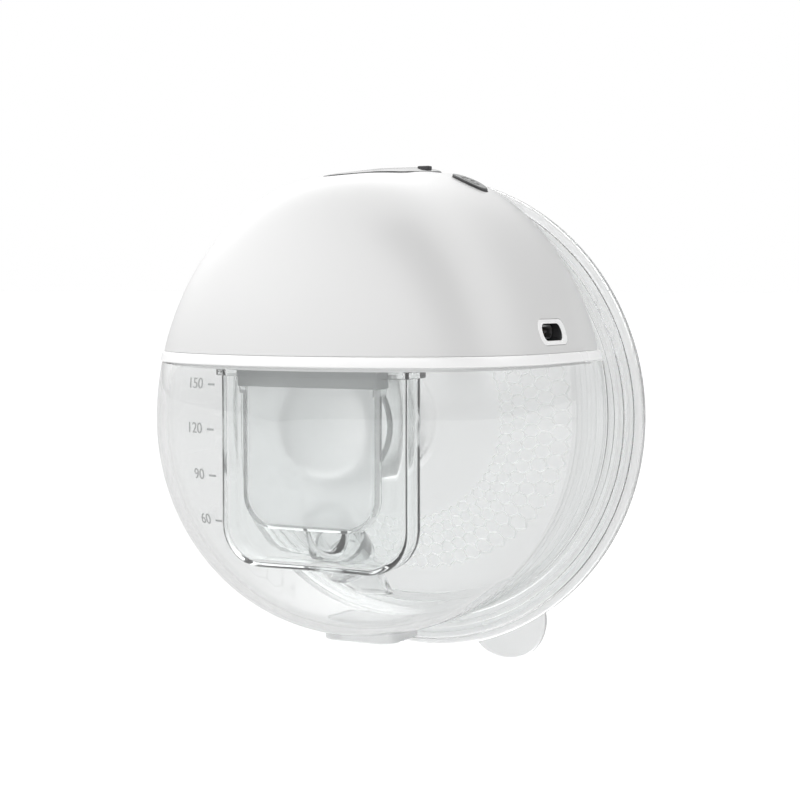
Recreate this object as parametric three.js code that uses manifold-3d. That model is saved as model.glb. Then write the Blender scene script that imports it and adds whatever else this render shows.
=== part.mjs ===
// Wearable breast pump: a silicone flange and a clear milk collector carry a white motor unit, and a
// clear linker with a pocket diaphragm and a duckbill valve joins the flange to the collector.
//
// The model is built about the centre of the flange rim. t is the distance forward of the rim plane
// (y = -t), x is to the right and z is up. The whole group is then placed so that the origin is the
// middle of the underside of the collector's foot. All sizes are in millimetres.

import * as THREE from 'three';
import { mergeVertices } from 'three/addons/utils/BufferGeometryUtils.js';
import Module from 'manifold-3d';

const wasm = await Module();
wasm.setup();

// ---------------------------------------------------------------- driving dimensions

const GAP = 0.3;                  // clearance between neighbouring pieces
const WALL = 2;                   // moulded shell thickness

// Egg-shaped outer surface: (t / DEPTH) ^ NOSE + (size / full size) ^ SHOULDER = 1
const HALF_WIDTH = 49.8;
const TOP_HEIGHT = 60.2;
const LOW_HEIGHT = 51.2;
const DEPTH = 74.8;
const NOSE = 5;
const SHOULDER = 1.73;
const DOME_SEGMENTS = 36;
const DOME_RINGS = 9;

// Parting plane between the motor unit above and the collector below
const PARTING_Z = 14.1;
const FLOOR = 2.35;
const FLOOR_TOP = PARTING_Z + FLOOR;
const BAND_PROUD = 0.4;
const RIB_DEPTH = 1;              // how far the locating rib reaches into the bowl
const MOTOR_BACK = 4.4;           // t of the motor unit's rear edge

// Rear ring of the collector and the silicone lip that covers it
const RIM_RADIUS = 58.5;
const RING_INNER = 47;
const RING_OUTER = 56.3;
const RING_BACK = 1.2;
const RING_FRONT = 2.8;

// Flange tunnel and the linker tube inside its front end
const TUNNEL_RADIUS = 12;
const TUNNEL_OUTER = 14.1;
const TUNNEL_FRONT = 45;
const TUBE_RADIUS = 12.4;
const TUBE_BORE = 10.6;
const TUBE_BACK = 30;

// Pull tab: a disc low on the right of the lip
const TAB_RADIUS = 10.2;
const TAB_THICK = 2;
const TAB_REACH = 55.3;           // from the rim's centre to the disc's centre
const TAB_ANGLE = 25;             // degrees from straight down

// Foot under the collector
const FOOT_T = 29;
const FOOT_WIDTH = 19;
const FOOT_LENGTH = 17;
const FOOT_Z = -51.9;

// Linker box and diaphragm pocket
const BOX_HALF = 23.5;
const BOX_BACK = 49.5;
const BOX_FRONT = 58.5;
const BOX_BOTTOM = -32;
const BOX_TOP = 12.8;
const BOX_CORNER = 10;
const BOX_WALL = 1.3;
const BOX_MID = (BOX_BACK + BOX_FRONT) / 2;
const LIP_HALF = 24.5;            // half width of the box's lip and of the gasket on it
const LIP_PROUD = 0.9;
const POCKET_X = -1.5;            // the pocket hangs a little to the left of the box's middle
const POCKET_HALF = 17;
const POCKET_BOTTOM = -23.5;
const POCKET_CORNER = 8;
const POCKET_WALL = 0.9;
const POCKET_BACK = 51.9;
const POCKET_FRONT = 56.8;

// Valve seat: leaves the back of the box and slopes down and back
const SEAT_Z = -23.7;
const SEAT_SLOPE = 40;            // degrees below the horizontal
const SEAT_OUTER = 5.7;
const SEAT_BORE = 4.4;
const SEAT_LENGTH = 11;
const VALVE_OUTER = 7;
const BEAK_END = 28;              // from the seat's root to the slit, along the valve

// Controls on the crown
const BUTTON_X = 18;
const BUTTON_T = 12.5;
const BUTTON_RADIUS = 4.2;
const BUTTON_COLLAR = BUTTON_RADIUS + 0.8;
const BUTTON_PROUD = 0.7;
const STEM_RADIUS = 1.3;
const PANEL_HALF = 11;
const PANEL_BACK = 9;
const PANEL_FRONT = 37;
const PANEL_CORNER = 6;
const PANEL_THICK = 1;
const WINDOW_HALF = 9.6;          // hole in the housing under the panel
const WINDOW_BACK = 12.5;
const WINDOW_FRONT = 31;
const BAR_X = 7;
const BAR_T = 14.6;
const BAR_HALF_X = 1.6;
const BAR_HALF_T = 1.1;
const BAR_PROUD = 0.75;
const BOARD_Z = 43.6;
const BOARD_THICK = 1.2;
const BOARD_TOP = BOARD_Z + BOARD_THICK;
const SWITCH_TOP = BOARD_TOP + 2.1;
const STEM_BOTTOM = SWITCH_TOP + 0.7;

// Charging port on the right side
const PORT_T = 30;
const PORT_Z = 21.2;
const MOUTH_HALF = [5, 1.9];      // half length and half height of the opening
const BEZEL_T = 29.3;
const BEZEL_HALF = [7.1, 2.9];

// Air pump, lying along x
const PUMP_T = 47;
const PUMP_Z = 32;
const CAN_RADIUS = 11;
const CAN_LEFT = -23.5;
const HEAD_LEFT = 1;
const COVER_LEFT = 15.3;
const INLET = [50, 37];            // t and z of the barb for the suction hose
const OUTLET = [44, 28];           // t and z of the barb for the release hose
const BARB_Z = 19.2;
const HOSE_OUTER = 2;
const HOSE_BORE = 1.4;
const NOZZLE_X = 13;
const NOZZLE_T = 54;

// Screws through the floor, and screws that hold the board
const CASE_SCREWS = [[-32, 42], [32, 42], [-36, 13], [36, 13]];
const BOARD_SCREWS = [[-22, 31], [22, 31]];

// ---------------------------------------------------------------- solids

// Turns a closed three.js geometry into a solid for joining and cutting, faces outward.
function solid(geometry) {
  geometry.deleteAttribute('normal');
  geometry.deleteAttribute('uv');
  const merged = mergeVertices(geometry, 1e-4);
  const position = merged.attributes.position;
  const corner = merged.index.array;
  const triangles = [];
  let volume = 0;
  const [p, q, r] = [new THREE.Vector3(), new THREE.Vector3(), new THREE.Vector3()];
  for (let i = 0; i < corner.length; i += 3) {
    const [a, b, c] = [corner[i], corner[i + 1], corner[i + 2]];
    if (a === b || b === c || c === a) continue;
    triangles.push([a, b, c]);
    p.fromBufferAttribute(position, a);
    q.fromBufferAttribute(position, b);
    r.fromBufferAttribute(position, c);
    volume += p.dot(q.cross(r));
  }
  if (volume < 0) triangles.forEach((triangle) => triangle.reverse());
  return new wasm.Manifold(new wasm.Mesh({
    numProp: 3,
    vertProperties: new Float32Array(position.array),
    triVerts: new Uint32Array(triangles.flat()),
  }));
}

function block(x0, x1, t0, t1, z0, z1) {
  const box = new THREE.BoxGeometry(x1 - x0, t1 - t0, z1 - z0);
  return solid(box.translate((x0 + x1) / 2, -(t0 + t1) / 2, (z0 + z1) / 2));
}

function rodX(radius, x0, x1, t, z, sides = 20) {
  const rod = new THREE.CylinderGeometry(radius, radius, x1 - x0, sides);
  return solid(rod.rotateZ(Math.PI / 2).translate((x0 + x1) / 2, -t, z));
}

function rodT(radius, t0, t1, x, z, sides = 20) {
  const rod = new THREE.CylinderGeometry(radius, radius, t1 - t0, sides);
  return solid(rod.translate(x, -(t0 + t1) / 2, z));
}

function rodZ(radius, z0, z1, x, t, sides = 20) {
  const rod = new THREE.CylinderGeometry(radius, radius, z1 - z0, sides);
  return solid(rod.rotateX(Math.PI / 2).translate(x, -t, (z0 + z1) / 2));
}

// Rectangle with the four corners rounded by radius r, or only the two lower ones.
function roundedOutline(u0, u1, v0, v1, r, upper = r) {
  const outline = new THREE.Shape();
  outline.moveTo(u0 + r, v0).lineTo(u1 - r, v0);
  outline.absarc(u1 - r, v0 + r, r, -Math.PI / 2, 0);
  outline.lineTo(u1, v1 - upper);
  if (upper > 0) outline.absarc(u1 - upper, v1 - upper, upper, 0, Math.PI / 2);
  outline.lineTo(u0 + upper, v1);
  if (upper > 0) outline.absarc(u0 + upper, v1 - upper, upper, Math.PI / 2, Math.PI);
  outline.lineTo(u0, v0 + r);
  outline.absarc(u0 + r, v0 + r, r, Math.PI, 1.5 * Math.PI);
  return outline;
}

// An outline pushed through a distance. The basis says where its u, v and depth point.
function pushed(outline, depth, basis, corner, curveSegments = 5) {
  const geometry = new THREE.ExtrudeGeometry(outline, { depth, bevelEnabled: false, curveSegments });
  const matrix = new THREE.Matrix4().makeBasis(...basis).setPosition(...corner);
  return solid(geometry.applyMatrix4(matrix));
}

const RIGHT = new THREE.Vector3(1, 0, 0);
const FORWARD = new THREE.Vector3(0, -1, 0);
const UP = new THREE.Vector3(0, 0, 1);

// Rounded as seen from the front (x, z), deep along t
function slabT(x0, x1, z0, z1, r, t0, t1, upper = r) {
  return pushed(roundedOutline(x0, x1, z0, z1, r, upper), t1 - t0, [RIGHT, UP, FORWARD], [0, -t0, 0]);
}

// Rounded as seen from above (x, t), deep along z
function slabZ(x0, x1, t0, t1, r, z0, z1) {
  return pushed(roundedOutline(x0, x1, t0, t1, r), z1 - z0, [RIGHT, FORWARD, UP], [0, 0, z0]);
}

// Rounded as seen from the side (t, z), deep along x
function slabX(t0, t1, z0, z1, r, x0, x1) {
  return pushed(roundedOutline(t0, t1, z0, z1, r), x1 - x0, [FORWARD, UP, RIGHT], [x0, 0, 0], 3);
}

// Body of revolution about the flange axis. The profile is a list of [radius, t] and closes itself.
function turned(profile, segments = DOME_SEGMENTS) {
  const points = profile.map(([radius, t]) => new THREE.Vector2(radius, -t));
  const [first, last] = [profile[0], profile[profile.length - 1]];
  if (first[0] > 0 || last[0] > 0) points.push(points[0].clone());
  return solid(new THREE.LatheGeometry(points, segments));
}

// The egg-shaped envelope, moved inward by inset.
function dome(inset) {
  const [half, depth] = [HALF_WIDTH - inset, DEPTH - inset];
  const profile = [new THREE.Vector2(0, 0), new THREE.Vector2(half, 0)];
  for (let i = 1; i <= DOME_RINGS; i++) {
    const angle = (Math.PI / 2) * (i / DOME_RINGS);
    const radius = i === DOME_RINGS ? 0 : half * Math.cos(angle) ** (2 / SHOULDER);
    profile.push(new THREE.Vector2(radius, -depth * Math.sin(angle) ** (2 / NOSE)));
  }
  const geometry = new THREE.LatheGeometry(profile, DOME_SEGMENTS);
  const position = geometry.attributes.position;
  const taller = (TOP_HEIGHT - inset) / half;
  const lower = (LOW_HEIGHT - inset) / half;
  for (let i = 0; i < position.count; i++) {
    const z = position.getZ(i);
    position.setZ(i, z * (z > 0 ? taller : lower));
  }
  return solid(geometry);
}

// Everything above a height, below a height, and forward of t
const above = (z) => block(-100, 100, -100, 200, z, 200);
const below = (z) => block(-100, 100, -100, 200, -200, z);
const forwardOf = (t) => block(-100, 100, t, 200, -200, 200);

// Hollow tube of soft hose along a curve
function hose(points, outer, inner, steps) {
  const ring = new THREE.Shape().absarc(0, 0, outer, 0, 2 * Math.PI);
  ring.holes.push(new THREE.Path().absarc(0, 0, inner, 0, 2 * Math.PI, true));
  const extrudePath = new THREE.CatmullRomCurve3(points.map(([x, t, z]) => new THREE.Vector3(x, -t, z)));
  return solid(new THREE.ExtrudeGeometry(ring, { steps, curveSegments: 4, extrudePath }));
}

// ---------------------------------------------------------------- materials and nodes

const finish = (color, roughness, metalness = 0, opacity = 1) =>
  new THREE.MeshStandardMaterial({ color, roughness, metalness, opacity, transparent: opacity < 1 });

const WHITE = finish(0xf2f2f0, 0.4);
const CLEAR = finish(0xe8eeee, 0.08, 0, 0.3);
const SILICONE = finish(0xe4e6e4, 0.45, 0, 0.6);
const BLACK = finish(0x17181a, 0.15);
const GREY = finish(0x77797a, 0.4);
const CIRCUIT = finish(0x1d5a3a, 0.5);
const STEEL = finish(0xb4b6b8, 0.3, 1);
const FOIL = finish(0x9fa6ad, 0.35, 0.6);
const BRASS = finish(0xb08d4a, 0.3, 1);
const NYLON = finish(0xdcdcd6, 0.5);

const model = new THREE.Group();
model.position.set(0, FOOT_T, -FOOT_Z);

function node(name, body, material) {
  const { vertProperties, triVerts } = body.getMesh();
  const geometry = new THREE.BufferGeometry();
  geometry.setAttribute('position', new THREE.BufferAttribute(vertProperties, 3));
  geometry.setIndex(new THREE.BufferAttribute(triVerts, 1));
  geometry.computeVertexNormals();
  const mesh = new THREE.Mesh(geometry, material);
  mesh.name = name;
  model.add(mesh);
}

// ---------------------------------------------------------------- collector

// Clear bowl with an open top, the full ring that the flange lip covers, and the foot.
function collectorCup() {
  const rear = RING_FRONT - 0.8;
  const bowl = dome(0).subtract(dome(WALL)).intersect(below(PARTING_Z - GAP)).intersect(forwardOf(rear));
  const ring = turned([
    [RING_INNER, RING_BACK], [RING_OUTER, RING_BACK], [RING_OUTER, RING_FRONT], [RING_INNER, RING_FRONT],
  ]);
  const foot = slabZ(
    -FOOT_WIDTH / 2, FOOT_WIDTH / 2, FOOT_T - FOOT_LENGTH / 2, FOOT_T + FOOT_LENGTH / 2, 4, FOOT_Z, -46,
  ).subtract(dome(WALL));
  return bowl.add(ring).add(foot);
}

// Pull tab on the lip: a disc of which the lip's bore leaves the outer half
function pullTab() {
  const angle = THREE.MathUtils.degToRad(TAB_ANGLE);
  const [x, z] = [TAB_REACH * Math.sin(angle), -TAB_REACH * Math.cos(angle)];
  return rodT(TAB_RADIUS, 0.1, 0.1 + TAB_THICK, x, z, 32);
}

// Silicone flange: lip over the ring, bell for the breast, tunnel over the linker tube
function flange() {
  const skin = turned([
    [TUNNEL_OUTER, TUNNEL_FRONT], [TUNNEL_OUTER, 21.5], [17, 17.2], [22, 13], [27.7, 9.6], [33, 6.4],
    [39, 3.6], [44, 1.6], [46.6, RING_BACK - GAP], [RING_OUTER + GAP, RING_BACK - GAP],
    [RING_OUTER + GAP, 4], [RIM_RADIUS - 0.5, 4], [RIM_RADIUS, 3.4], [RIM_RADIUS, 0.6],
    [RIM_RADIUS - 0.6, 0], [48, 0], [44, 0.3], [39, 1.7], [33, 4.3], [27.7, 7.4], [22, 10.9], [17, 14.7],
    [13, 18.2], [TUNNEL_RADIUS, 20.5], [TUNNEL_RADIUS, TUBE_BACK - 0.5], [TUBE_RADIUS + GAP, TUBE_BACK - 0.5],
    [TUBE_RADIUS + GAP, TUNNEL_FRONT],
  ]);
  const bore = turned([[0, -5], [RING_OUTER + GAP, -5], [RING_OUTER + GAP, 5], [0, 5]]);
  return skin.add(pullTab().subtract(bore));
}

// A solid built along the valve axis: local y runs from the seat outward.
function alongValve(geometry) {
  const slope = THREE.MathUtils.degToRad(SEAT_SLOPE);
  geometry.rotateX(-slope).translate(0, -BOX_BACK, SEAT_Z);
  return solid(geometry);
}

function valveRod(radius, from, to, sides = 24) {
  const rod = new THREE.CylinderGeometry(radius, radius, to - from, sides);
  return alongValve(rod.translate(0, (from + to) / 2, 0));
}

// Plate with the outline of the box's lip
const lipOutline = (z0, z1) =>
  slabZ(-LIP_HALF, LIP_HALF, BOX_BACK - LIP_PROUD, BOX_FRONT + LIP_PROUD, 2, z0, z1);

// Clear linker: open-topped flat box, tube to the flange and seat for the valve
function linkerBody() {
  const box = slabT(-BOX_HALF, BOX_HALF, BOX_BOTTOM, BOX_TOP, BOX_CORNER, BOX_BACK, BOX_FRONT, 0);
  const lip = lipOutline(BOX_TOP - 1.6, BOX_TOP);
  const tube = rodT(TUBE_RADIUS, TUBE_BACK, BOX_BACK + 0.5, 0, 0, DOME_SEGMENTS);
  const seat = valveRod(SEAT_OUTER, -2, SEAT_LENGTH);
  const cavity = slabT(
    -BOX_HALF + BOX_WALL, BOX_HALF - BOX_WALL, BOX_BOTTOM + BOX_WALL, BOX_TOP + 5,
    BOX_CORNER - BOX_WALL, BOX_BACK + BOX_WALL, BOX_FRONT - BOX_WALL, 0,
  );
  const outside = block(-50, 50, BOX_MID, 80, -60, BOX_TOP - 2);
  return box.add(lip).add(tube).add(seat.subtract(outside))
    .subtract(cavity)
    .subtract(rodT(TUBE_BORE, TUBE_BACK - 1, BOX_BACK + BOX_WALL + 0.5, 0, 0, DOME_SEGMENTS))
    .subtract(valveRod(SEAT_BORE, -2.4, SEAT_LENGTH + 1));
}

// Silicone pocket that hangs in the linker box, with the rim that seals its top
function diaphragm() {
  const gasketTop = PARTING_Z - GAP;
  const [left, right] = [POCKET_X - POCKET_HALF, POCKET_X + POCKET_HALF];
  const neckHalf = BOX_HALF - BOX_WALL - GAP;
  const [neckBack, neckFront] = [BOX_BACK + BOX_WALL + GAP, BOX_FRONT - BOX_WALL - GAP];
  const pocket = slabT(left, right, POCKET_BOTTOM, 9.2, POCKET_CORNER, POCKET_BACK, POCKET_FRONT, 0);
  const neck = block(-neckHalf, neckHalf, neckBack, neckFront, 9, gasketTop - 0.1);
  const gasket = lipOutline(BOX_TOP + GAP, gasketTop);
  const inside = slabT(
    left + POCKET_WALL, right - POCKET_WALL, POCKET_BOTTOM + POCKET_WALL, 20,
    POCKET_CORNER - POCKET_WALL, POCKET_BACK + POCKET_WALL, POCKET_FRONT - POCKET_WALL, 0,
  );
  return pocket.add(neck).add(gasket).subtract(inside);
}

// Duckbill valve: a collar over the seat, then a beak that narrows to a slit
function duckbillValve() {
  const collarStart = 5.5;
  const collarEnd = SEAT_LENGTH + GAP;
  const outline = [
    [0, BEAK_END], [4.6, BEAK_END], [5.6, 18.5], [6.3, 13.5], [VALVE_OUTER, 12], [VALVE_OUTER, collarStart],
    [SEAT_OUTER + GAP, collarStart], [SEAT_OUTER + GAP, collarEnd], [4.6, collarEnd + 0.6],
    [3.6, BEAK_END - 1.6], [0, BEAK_END - 1.6],
  ].map(([radius, y]) => new THREE.Vector2(radius, y));
  const geometry = new THREE.LatheGeometry(outline, 24);
  const position = geometry.attributes.position;
  for (let i = 0; i < position.count; i++) {
    const along = THREE.MathUtils.clamp((position.getY(i) - collarEnd - 0.5) / (BEAK_END - collarEnd), 0, 1);
    position.setX(i, position.getX(i) * (1 + 0.25 * along));
    position.setZ(i, position.getZ(i) * (1 - 0.78 * along));
  }
  return alongValve(geometry);
}

node('collector_cup', collectorCup(), CLEAR);
node('linker_body', linkerBody(), CLEAR);
node('diaphragm', diaphragm(), SILICONE);
node('duckbill_valve', duckbillValve(), SILICONE);
node('flange', flange(), SILICONE);

// ---------------------------------------------------------------- motor unit shells

// Space behind the motor unit that the bell fills, moved forward by offset
function bellSpace(offset) {
  return turned([
    [0, -10], [80, -10], [80, MOTOR_BACK + offset], [42 + offset, MOTOR_BACK + offset],
    [39, 5.2 + offset], [33, 8.0 + offset], [27.7, 11.2 + offset], [22, 14.8 + offset], [17, 19.2 + offset],
    [TUNNEL_OUTER, 23 + offset], [0, 23 + offset],
  ]);
}

// Height of the outer surface over a point of the crown
function crownHeight(x, t) {
  const size = (1 - (t / DEPTH) ** NOSE) ** (1 / SHOULDER);
  return TOP_HEIGHT * size * Math.sqrt(1 - (x / (HALF_WIDTH * size)) ** 2);
}

// Outline of the panel or of its seat, as a solid that reaches through the crown
function panelOutline(grow) {
  const half = PANEL_HALF + grow;
  return slabZ(-half, half, PANEL_BACK - grow, PANEL_FRONT + grow, PANEL_CORNER, 40, 70);
}

// Outline of the port's surround or of the hole for it
function portOutline(grow, x0, x1) {
  const [length, height] = BEZEL_HALF.map((half) => half + grow);
  return slabX(BEZEL_T - length, BEZEL_T + length, PORT_Z - height, PORT_Z + height, 2.4, x0, x1);
}

function upperHousing() {
  const bottom = FLOOR_TOP + GAP;
  let shell = dome(0).subtract(dome(WALL)).intersect(above(bottom)).intersect(forwardOf(MOTOR_BACK));
  const envelope = dome(WALL / 2);
  for (const [x, t] of CASE_SCREWS) {
    shell = shell.add(rodZ(3, 19.3, 60, x, t).intersect(envelope)).subtract(rodZ(1.25, 19, 28, x, t));
  }
  for (const [x, t] of BOARD_SCREWS) {
    const boss = rodZ(2.6, BOARD_TOP + GAP, 60, x, t).intersect(envelope);
    shell = shell.add(boss).subtract(rodZ(1.25, 44, 49.3, x, t, 12));
  }
  const seat = panelOutline(GAP).subtract(dome(PANEL_THICK + GAP));
  const window = slabZ(-WINDOW_HALF, WINDOW_HALF, WINDOW_BACK, WINDOW_FRONT, 2, 40, 70);
  shell = shell.subtract(seat).subtract(window);
  for (const side of [-1, 1]) {
    shell = shell.subtract(rodZ(BUTTON_RADIUS + GAP, 40, 70, side * BUTTON_X, BUTTON_T, 24));
  }
  return shell.subtract(portOutline(GAP, 35, 60));
}

function baseCover() {
  const rearSpace = bellSpace(0);
  const floor = dome(-BAND_PROUD).intersect(block(-100, 100, MOTOR_BACK, 100, PARTING_Z, FLOOR_TOP));
  const rearWall = dome(WALL + GAP).intersect(above(FLOOR_TOP - 0.2)).intersect(bellSpace(WALL));
  const rib = dome(WALL + GAP).subtract(dome(WALL + GAP + 1.2))
    .intersect(block(-100, 100, 9, 100, PARTING_Z - RIB_DEPTH, PARTING_Z + 0.5));
  let cover = floor.add(rearWall).add(rib).subtract(rearSpace);
  for (const [x, t] of CASE_SCREWS) {
    cover = cover.add(rodZ(4, FLOOR_TOP - 0.2, 19, x, t))
      .subtract(rodZ(2.4, PARTING_Z - 1, 16.7, x, t))
      .subtract(rodZ(1.3, PARTING_Z, 20, x, t));
  }
  for (const t of [PORT_T - 4, PORT_T + 4]) {
    cover = cover.add(rodZ(1.6, FLOOR_TOP - 0.2, 17.8, 37, t, 12));
  }
  return cover.subtract(rodZ(2.6, PARTING_Z - 1, FLOOR_TOP + 1, NOZZLE_X, NOZZLE_T));
}

node('upper_housing', upperHousing(), WHITE);
node('base_cover', baseCover(), WHITE);

// Case screw, driven from below into a boss of the upper housing
CASE_SCREWS.forEach(([x, t], i) => {
  const screw = rodZ(2, 15.1, 16.4, x, t, 16).add(rodZ(0.95, 16.3, 26.5, x, t, 10))
    .subtract(rodZ(1, 15, 15.8, x, t, 6));
  node(`case_screw_${i + 1}`, screw, STEEL);
});

// ---------------------------------------------------------------- controls

// Upright block over the mode button's place, grown sideways
function barOutline(grow, corner, z0, z1) {
  const [halfX, halfT] = [BAR_HALF_X + grow, BAR_HALF_T + grow];
  return slabZ(BAR_X - halfX, BAR_X + halfX, BAR_T - halfT, BAR_T + halfT, corner, z0, z1);
}

function controlPanel() {
  const plate = panelOutline(0).intersect(dome(-GAP)).subtract(dome(PANEL_THICK));
  return plate.subtract(barOutline(GAP, 0.8, 40, 70));
}

// Round cap, a little proud of the crown, with a retaining collar and a stem over its switch
function roundButton(x) {
  const cap = rodZ(BUTTON_RADIUS, 48.6, 70, x, BUTTON_T, 24).intersect(dome(-BUTTON_PROUD));
  const collar = rodZ(BUTTON_COLLAR, 47.9, 48.8, x, BUTTON_T, 24);
  return cap.add(collar).add(rodZ(STEM_RADIUS, STEM_BOTTOM, 48.2, x, BUTTON_T, 12));
}

function barButton() {
  const top = crownHeight(BAR_X, BAR_T) + BAR_PROUD;
  const collar = barOutline(0.7, 0.3, 54.4, 55.2);
  return barOutline(0, 0.6, 55, top).add(collar).add(rodZ(STEM_RADIUS, STEM_BOTTOM, 54.6, BAR_X, BAR_T, 12));
}

function tactSwitch(x, t) {
  const body = block(x - 2.2, x + 2.2, t - 2.2, t + 2.2, BOARD_TOP + GAP, SWITCH_TOP - 0.4);
  return body.add(rodZ(1.1, SWITCH_TOP - 0.6, SWITCH_TOP, x, t, 12));
}

function mainBoard() {
  let board = slabZ(-26, 26, 9, 36, 2, BOARD_Z, BOARD_TOP);
  for (const [x, t] of BOARD_SCREWS) board = board.subtract(rodZ(1.3, 40, 50, x, t, 12));
  return board;
}

node('control_panel', controlPanel(), BLACK);
node('power_button', roundButton(BUTTON_X), GREY);
node('level_button', roundButton(-BUTTON_X), GREY);
node('mode_button', barButton(), BLACK);
node('power_switch', tactSwitch(BUTTON_X, BUTTON_T), BLACK);
node('level_switch', tactSwitch(-BUTTON_X, BUTTON_T), BLACK);
node('mode_switch', tactSwitch(BAR_X, BAR_T), BLACK);
node('led_display', block(-8.6, 2.8, 14, 29.5, BOARD_TOP + GAP, 55.8), BLACK);
node('main_board', mainBoard(), CIRCUIT);

BOARD_SCREWS.forEach(([x, t], i) => {
  const screw = rodZ(2, BOARD_Z - 1.5, BOARD_Z - GAP, x, t).add(rodZ(0.9, BOARD_Z - 0.5, 48.8, x, t, 12));
  node(`board_screw_${i + 1}`, screw, STEEL);
});

// ---------------------------------------------------------------- charging port

function portBezel() {
  const [length, height] = MOUTH_HALF;
  const mouth = slabX(PORT_T - length, PORT_T + length, PORT_Z - height, PORT_Z + height, 1.7, 35, 60);
  return portOutline(0, 42.5, 60).intersect(dome(-0.15)).subtract(mouth);
}

function usbSocket() {
  const body = slabX(PORT_T - 4.5, PORT_T + 4.5, PORT_Z - 1.6, PORT_Z + 1.6, 1.3, 36.5, 44.4);
  const mouth = slabX(PORT_T - 4.1, PORT_T + 4.1, PORT_Z - 1.2, PORT_Z + 1.2, 1, 37.5, 46);
  const tongue = block(37, 43.6, PORT_T - 3.3, PORT_T + 3.3, PORT_Z - 0.35, PORT_Z + 0.35);
  return body.subtract(mouth).add(tongue);
}

node('port_bezel', portBezel(), WHITE);
node('usb_socket', usbSocket(), STEEL);
node('charging_board', slabZ(32.6, 42.2, PORT_T - 6.5, PORT_T + 6.5, 1, 18.1, 19.3), CIRCUIT);

// ---------------------------------------------------------------- battery and pump

node('battery_cell', slabZ(-30, 14, 22, 30.5, 2, 17.8, 41), FOIL);
node('battery_pad', block(-26, 10, 30.8, 32, 20, 38), BLACK);

function pumpMotor() {
  const collar = rodX(3, HEAD_LEFT - 0.9, HEAD_LEFT - GAP, PUMP_T, PUMP_Z, 12);
  const can = rodX(CAN_RADIUS, CAN_LEFT, HEAD_LEFT - 0.8, PUMP_T, PUMP_Z, 28);
  return can.add(collar).subtract(rodX(1.4, HEAD_LEFT - 6, HEAD_LEFT + 2, PUMP_T, PUMP_Z, 10));
}

function pumpHead() {
  const half = CAN_RADIUS;
  const end = COVER_LEFT - GAP;
  const frame = slabX(PUMP_T - half, PUMP_T + half, PUMP_Z - half, PUMP_Z + half, 3, HEAD_LEFT, end);
  const chamber = slabX(
    PUMP_T - 8.5, PUMP_T + 8.5, PUMP_Z - 8.5, PUMP_Z + 14, 2, HEAD_LEFT + 1.4, HEAD_LEFT + 10.6,
  );
  return frame.subtract(chamber).subtract(rodX(3.6, HEAD_LEFT - 1, HEAD_LEFT + 3, PUMP_T, PUMP_Z, 16));
}

function pumpCover() {
  const half = CAN_RADIUS - 1;
  const end = COVER_LEFT + 2.7;
  let cover = slabX(PUMP_T - half, PUMP_T + half, PUMP_Z - half, PUMP_Z + half, 4, COVER_LEFT, end);
  for (const [t, z] of [INLET, OUTLET]) cover = cover.add(rodX(1.1, end - 0.2, end + 4.5, t, z, 10));
  return cover;
}

// Motor shaft with the off-centre disc that drives the pump
function eccentric() {
  const shaft = rodX(1.05, HEAD_LEFT - 4.5, HEAD_LEFT + 4, PUMP_T, PUMP_Z, 10);
  return shaft.add(rodX(5, HEAD_LEFT + 3.5, HEAD_LEFT + 8.5, PUMP_T, PUMP_Z + 1.5, 20));
}

// Cradle that holds the motor can on the floor
function motorSaddle() {
  const reach = CAN_RADIUS + 1.4;
  const foot = slabX(PUMP_T - reach, PUMP_T + reach, FLOOR_TOP + GAP, 27, 1, -20, -7);
  return foot.subtract(rodX(CAN_RADIUS + GAP, -30, 0, PUMP_T, PUMP_Z, 28));
}

// Air outlet through the floor into the diaphragm pocket
function airNozzle() {
  const half = 3.4;
  const base = slabZ(
    NOZZLE_X - half, NOZZLE_X + half, NOZZLE_T - half, NOZZLE_T + half, 1, FLOOR_TOP + GAP, BARB_Z + 1.4,
  );
  const stub = rodZ(2.2, PARTING_Z + GAP, FLOOR_TOP + 1, NOZZLE_X, NOZZLE_T, 16);
  const barb = rodX(1.1, NOZZLE_X + half - 0.4, NOZZLE_X + half + 5, NOZZLE_T, BARB_Z, 10);
  return base.add(stub).add(barb).subtract(rodZ(0.9, PARTING_Z, BARB_Z, NOZZLE_X, NOZZLE_T, 10));
}

node('pump_motor', pumpMotor(), STEEL);
node('pump_head', pumpHead(), NYLON);
node('pump_cover', pumpCover(), NYLON);
node('eccentric', eccentric(), BRASS);
node('motor_saddle', motorSaddle(), NYLON);
node('air_nozzle', airNozzle(), NYLON);

// ---------------------------------------------------------------- release valve and hoses

const VALVE_X = 25.5;
const VALVE_T = 30.5;
const VALVE_HALF = 5.5;
const COIL_TOP = 29;
const PLUNGER_CAP = 34;
const RELEASE_Z = 23;

function solenoidBody() {
  const coil = slabZ(
    VALVE_X - VALVE_HALF, VALVE_X + VALVE_HALF, VALVE_T - VALVE_HALF, VALVE_T + VALVE_HALF, 1.5,
    FLOOR_TOP + GAP, COIL_TOP,
  );
  const front = VALVE_T + VALVE_HALF;
  const barb = rodT(1.1, front - 0.2, front + 4, VALVE_X, RELEASE_Z, 10);
  return coil.add(barb).subtract(rodZ(2.1, 24.5, COIL_TOP + 2, VALVE_X, VALVE_T, 16));
}

function solenoidPlunger() {
  const pin = rodZ(1.8, 26.5, PLUNGER_CAP + 0.2, VALVE_X, VALVE_T, 16);
  return pin.add(rodZ(3.8, PLUNGER_CAP, PLUNGER_CAP + 1, VALVE_X, VALVE_T));
}

// Return spring between the coil and the plunger cap, as its outer sleeve
function plungerSpring() {
  const [bottom, top] = [COIL_TOP + GAP, PLUNGER_CAP - GAP];
  return rodZ(3.4, bottom, top, VALVE_X, VALVE_T).subtract(rodZ(2.3, bottom - 1, top + 1, VALVE_X, VALVE_T));
}

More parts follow.
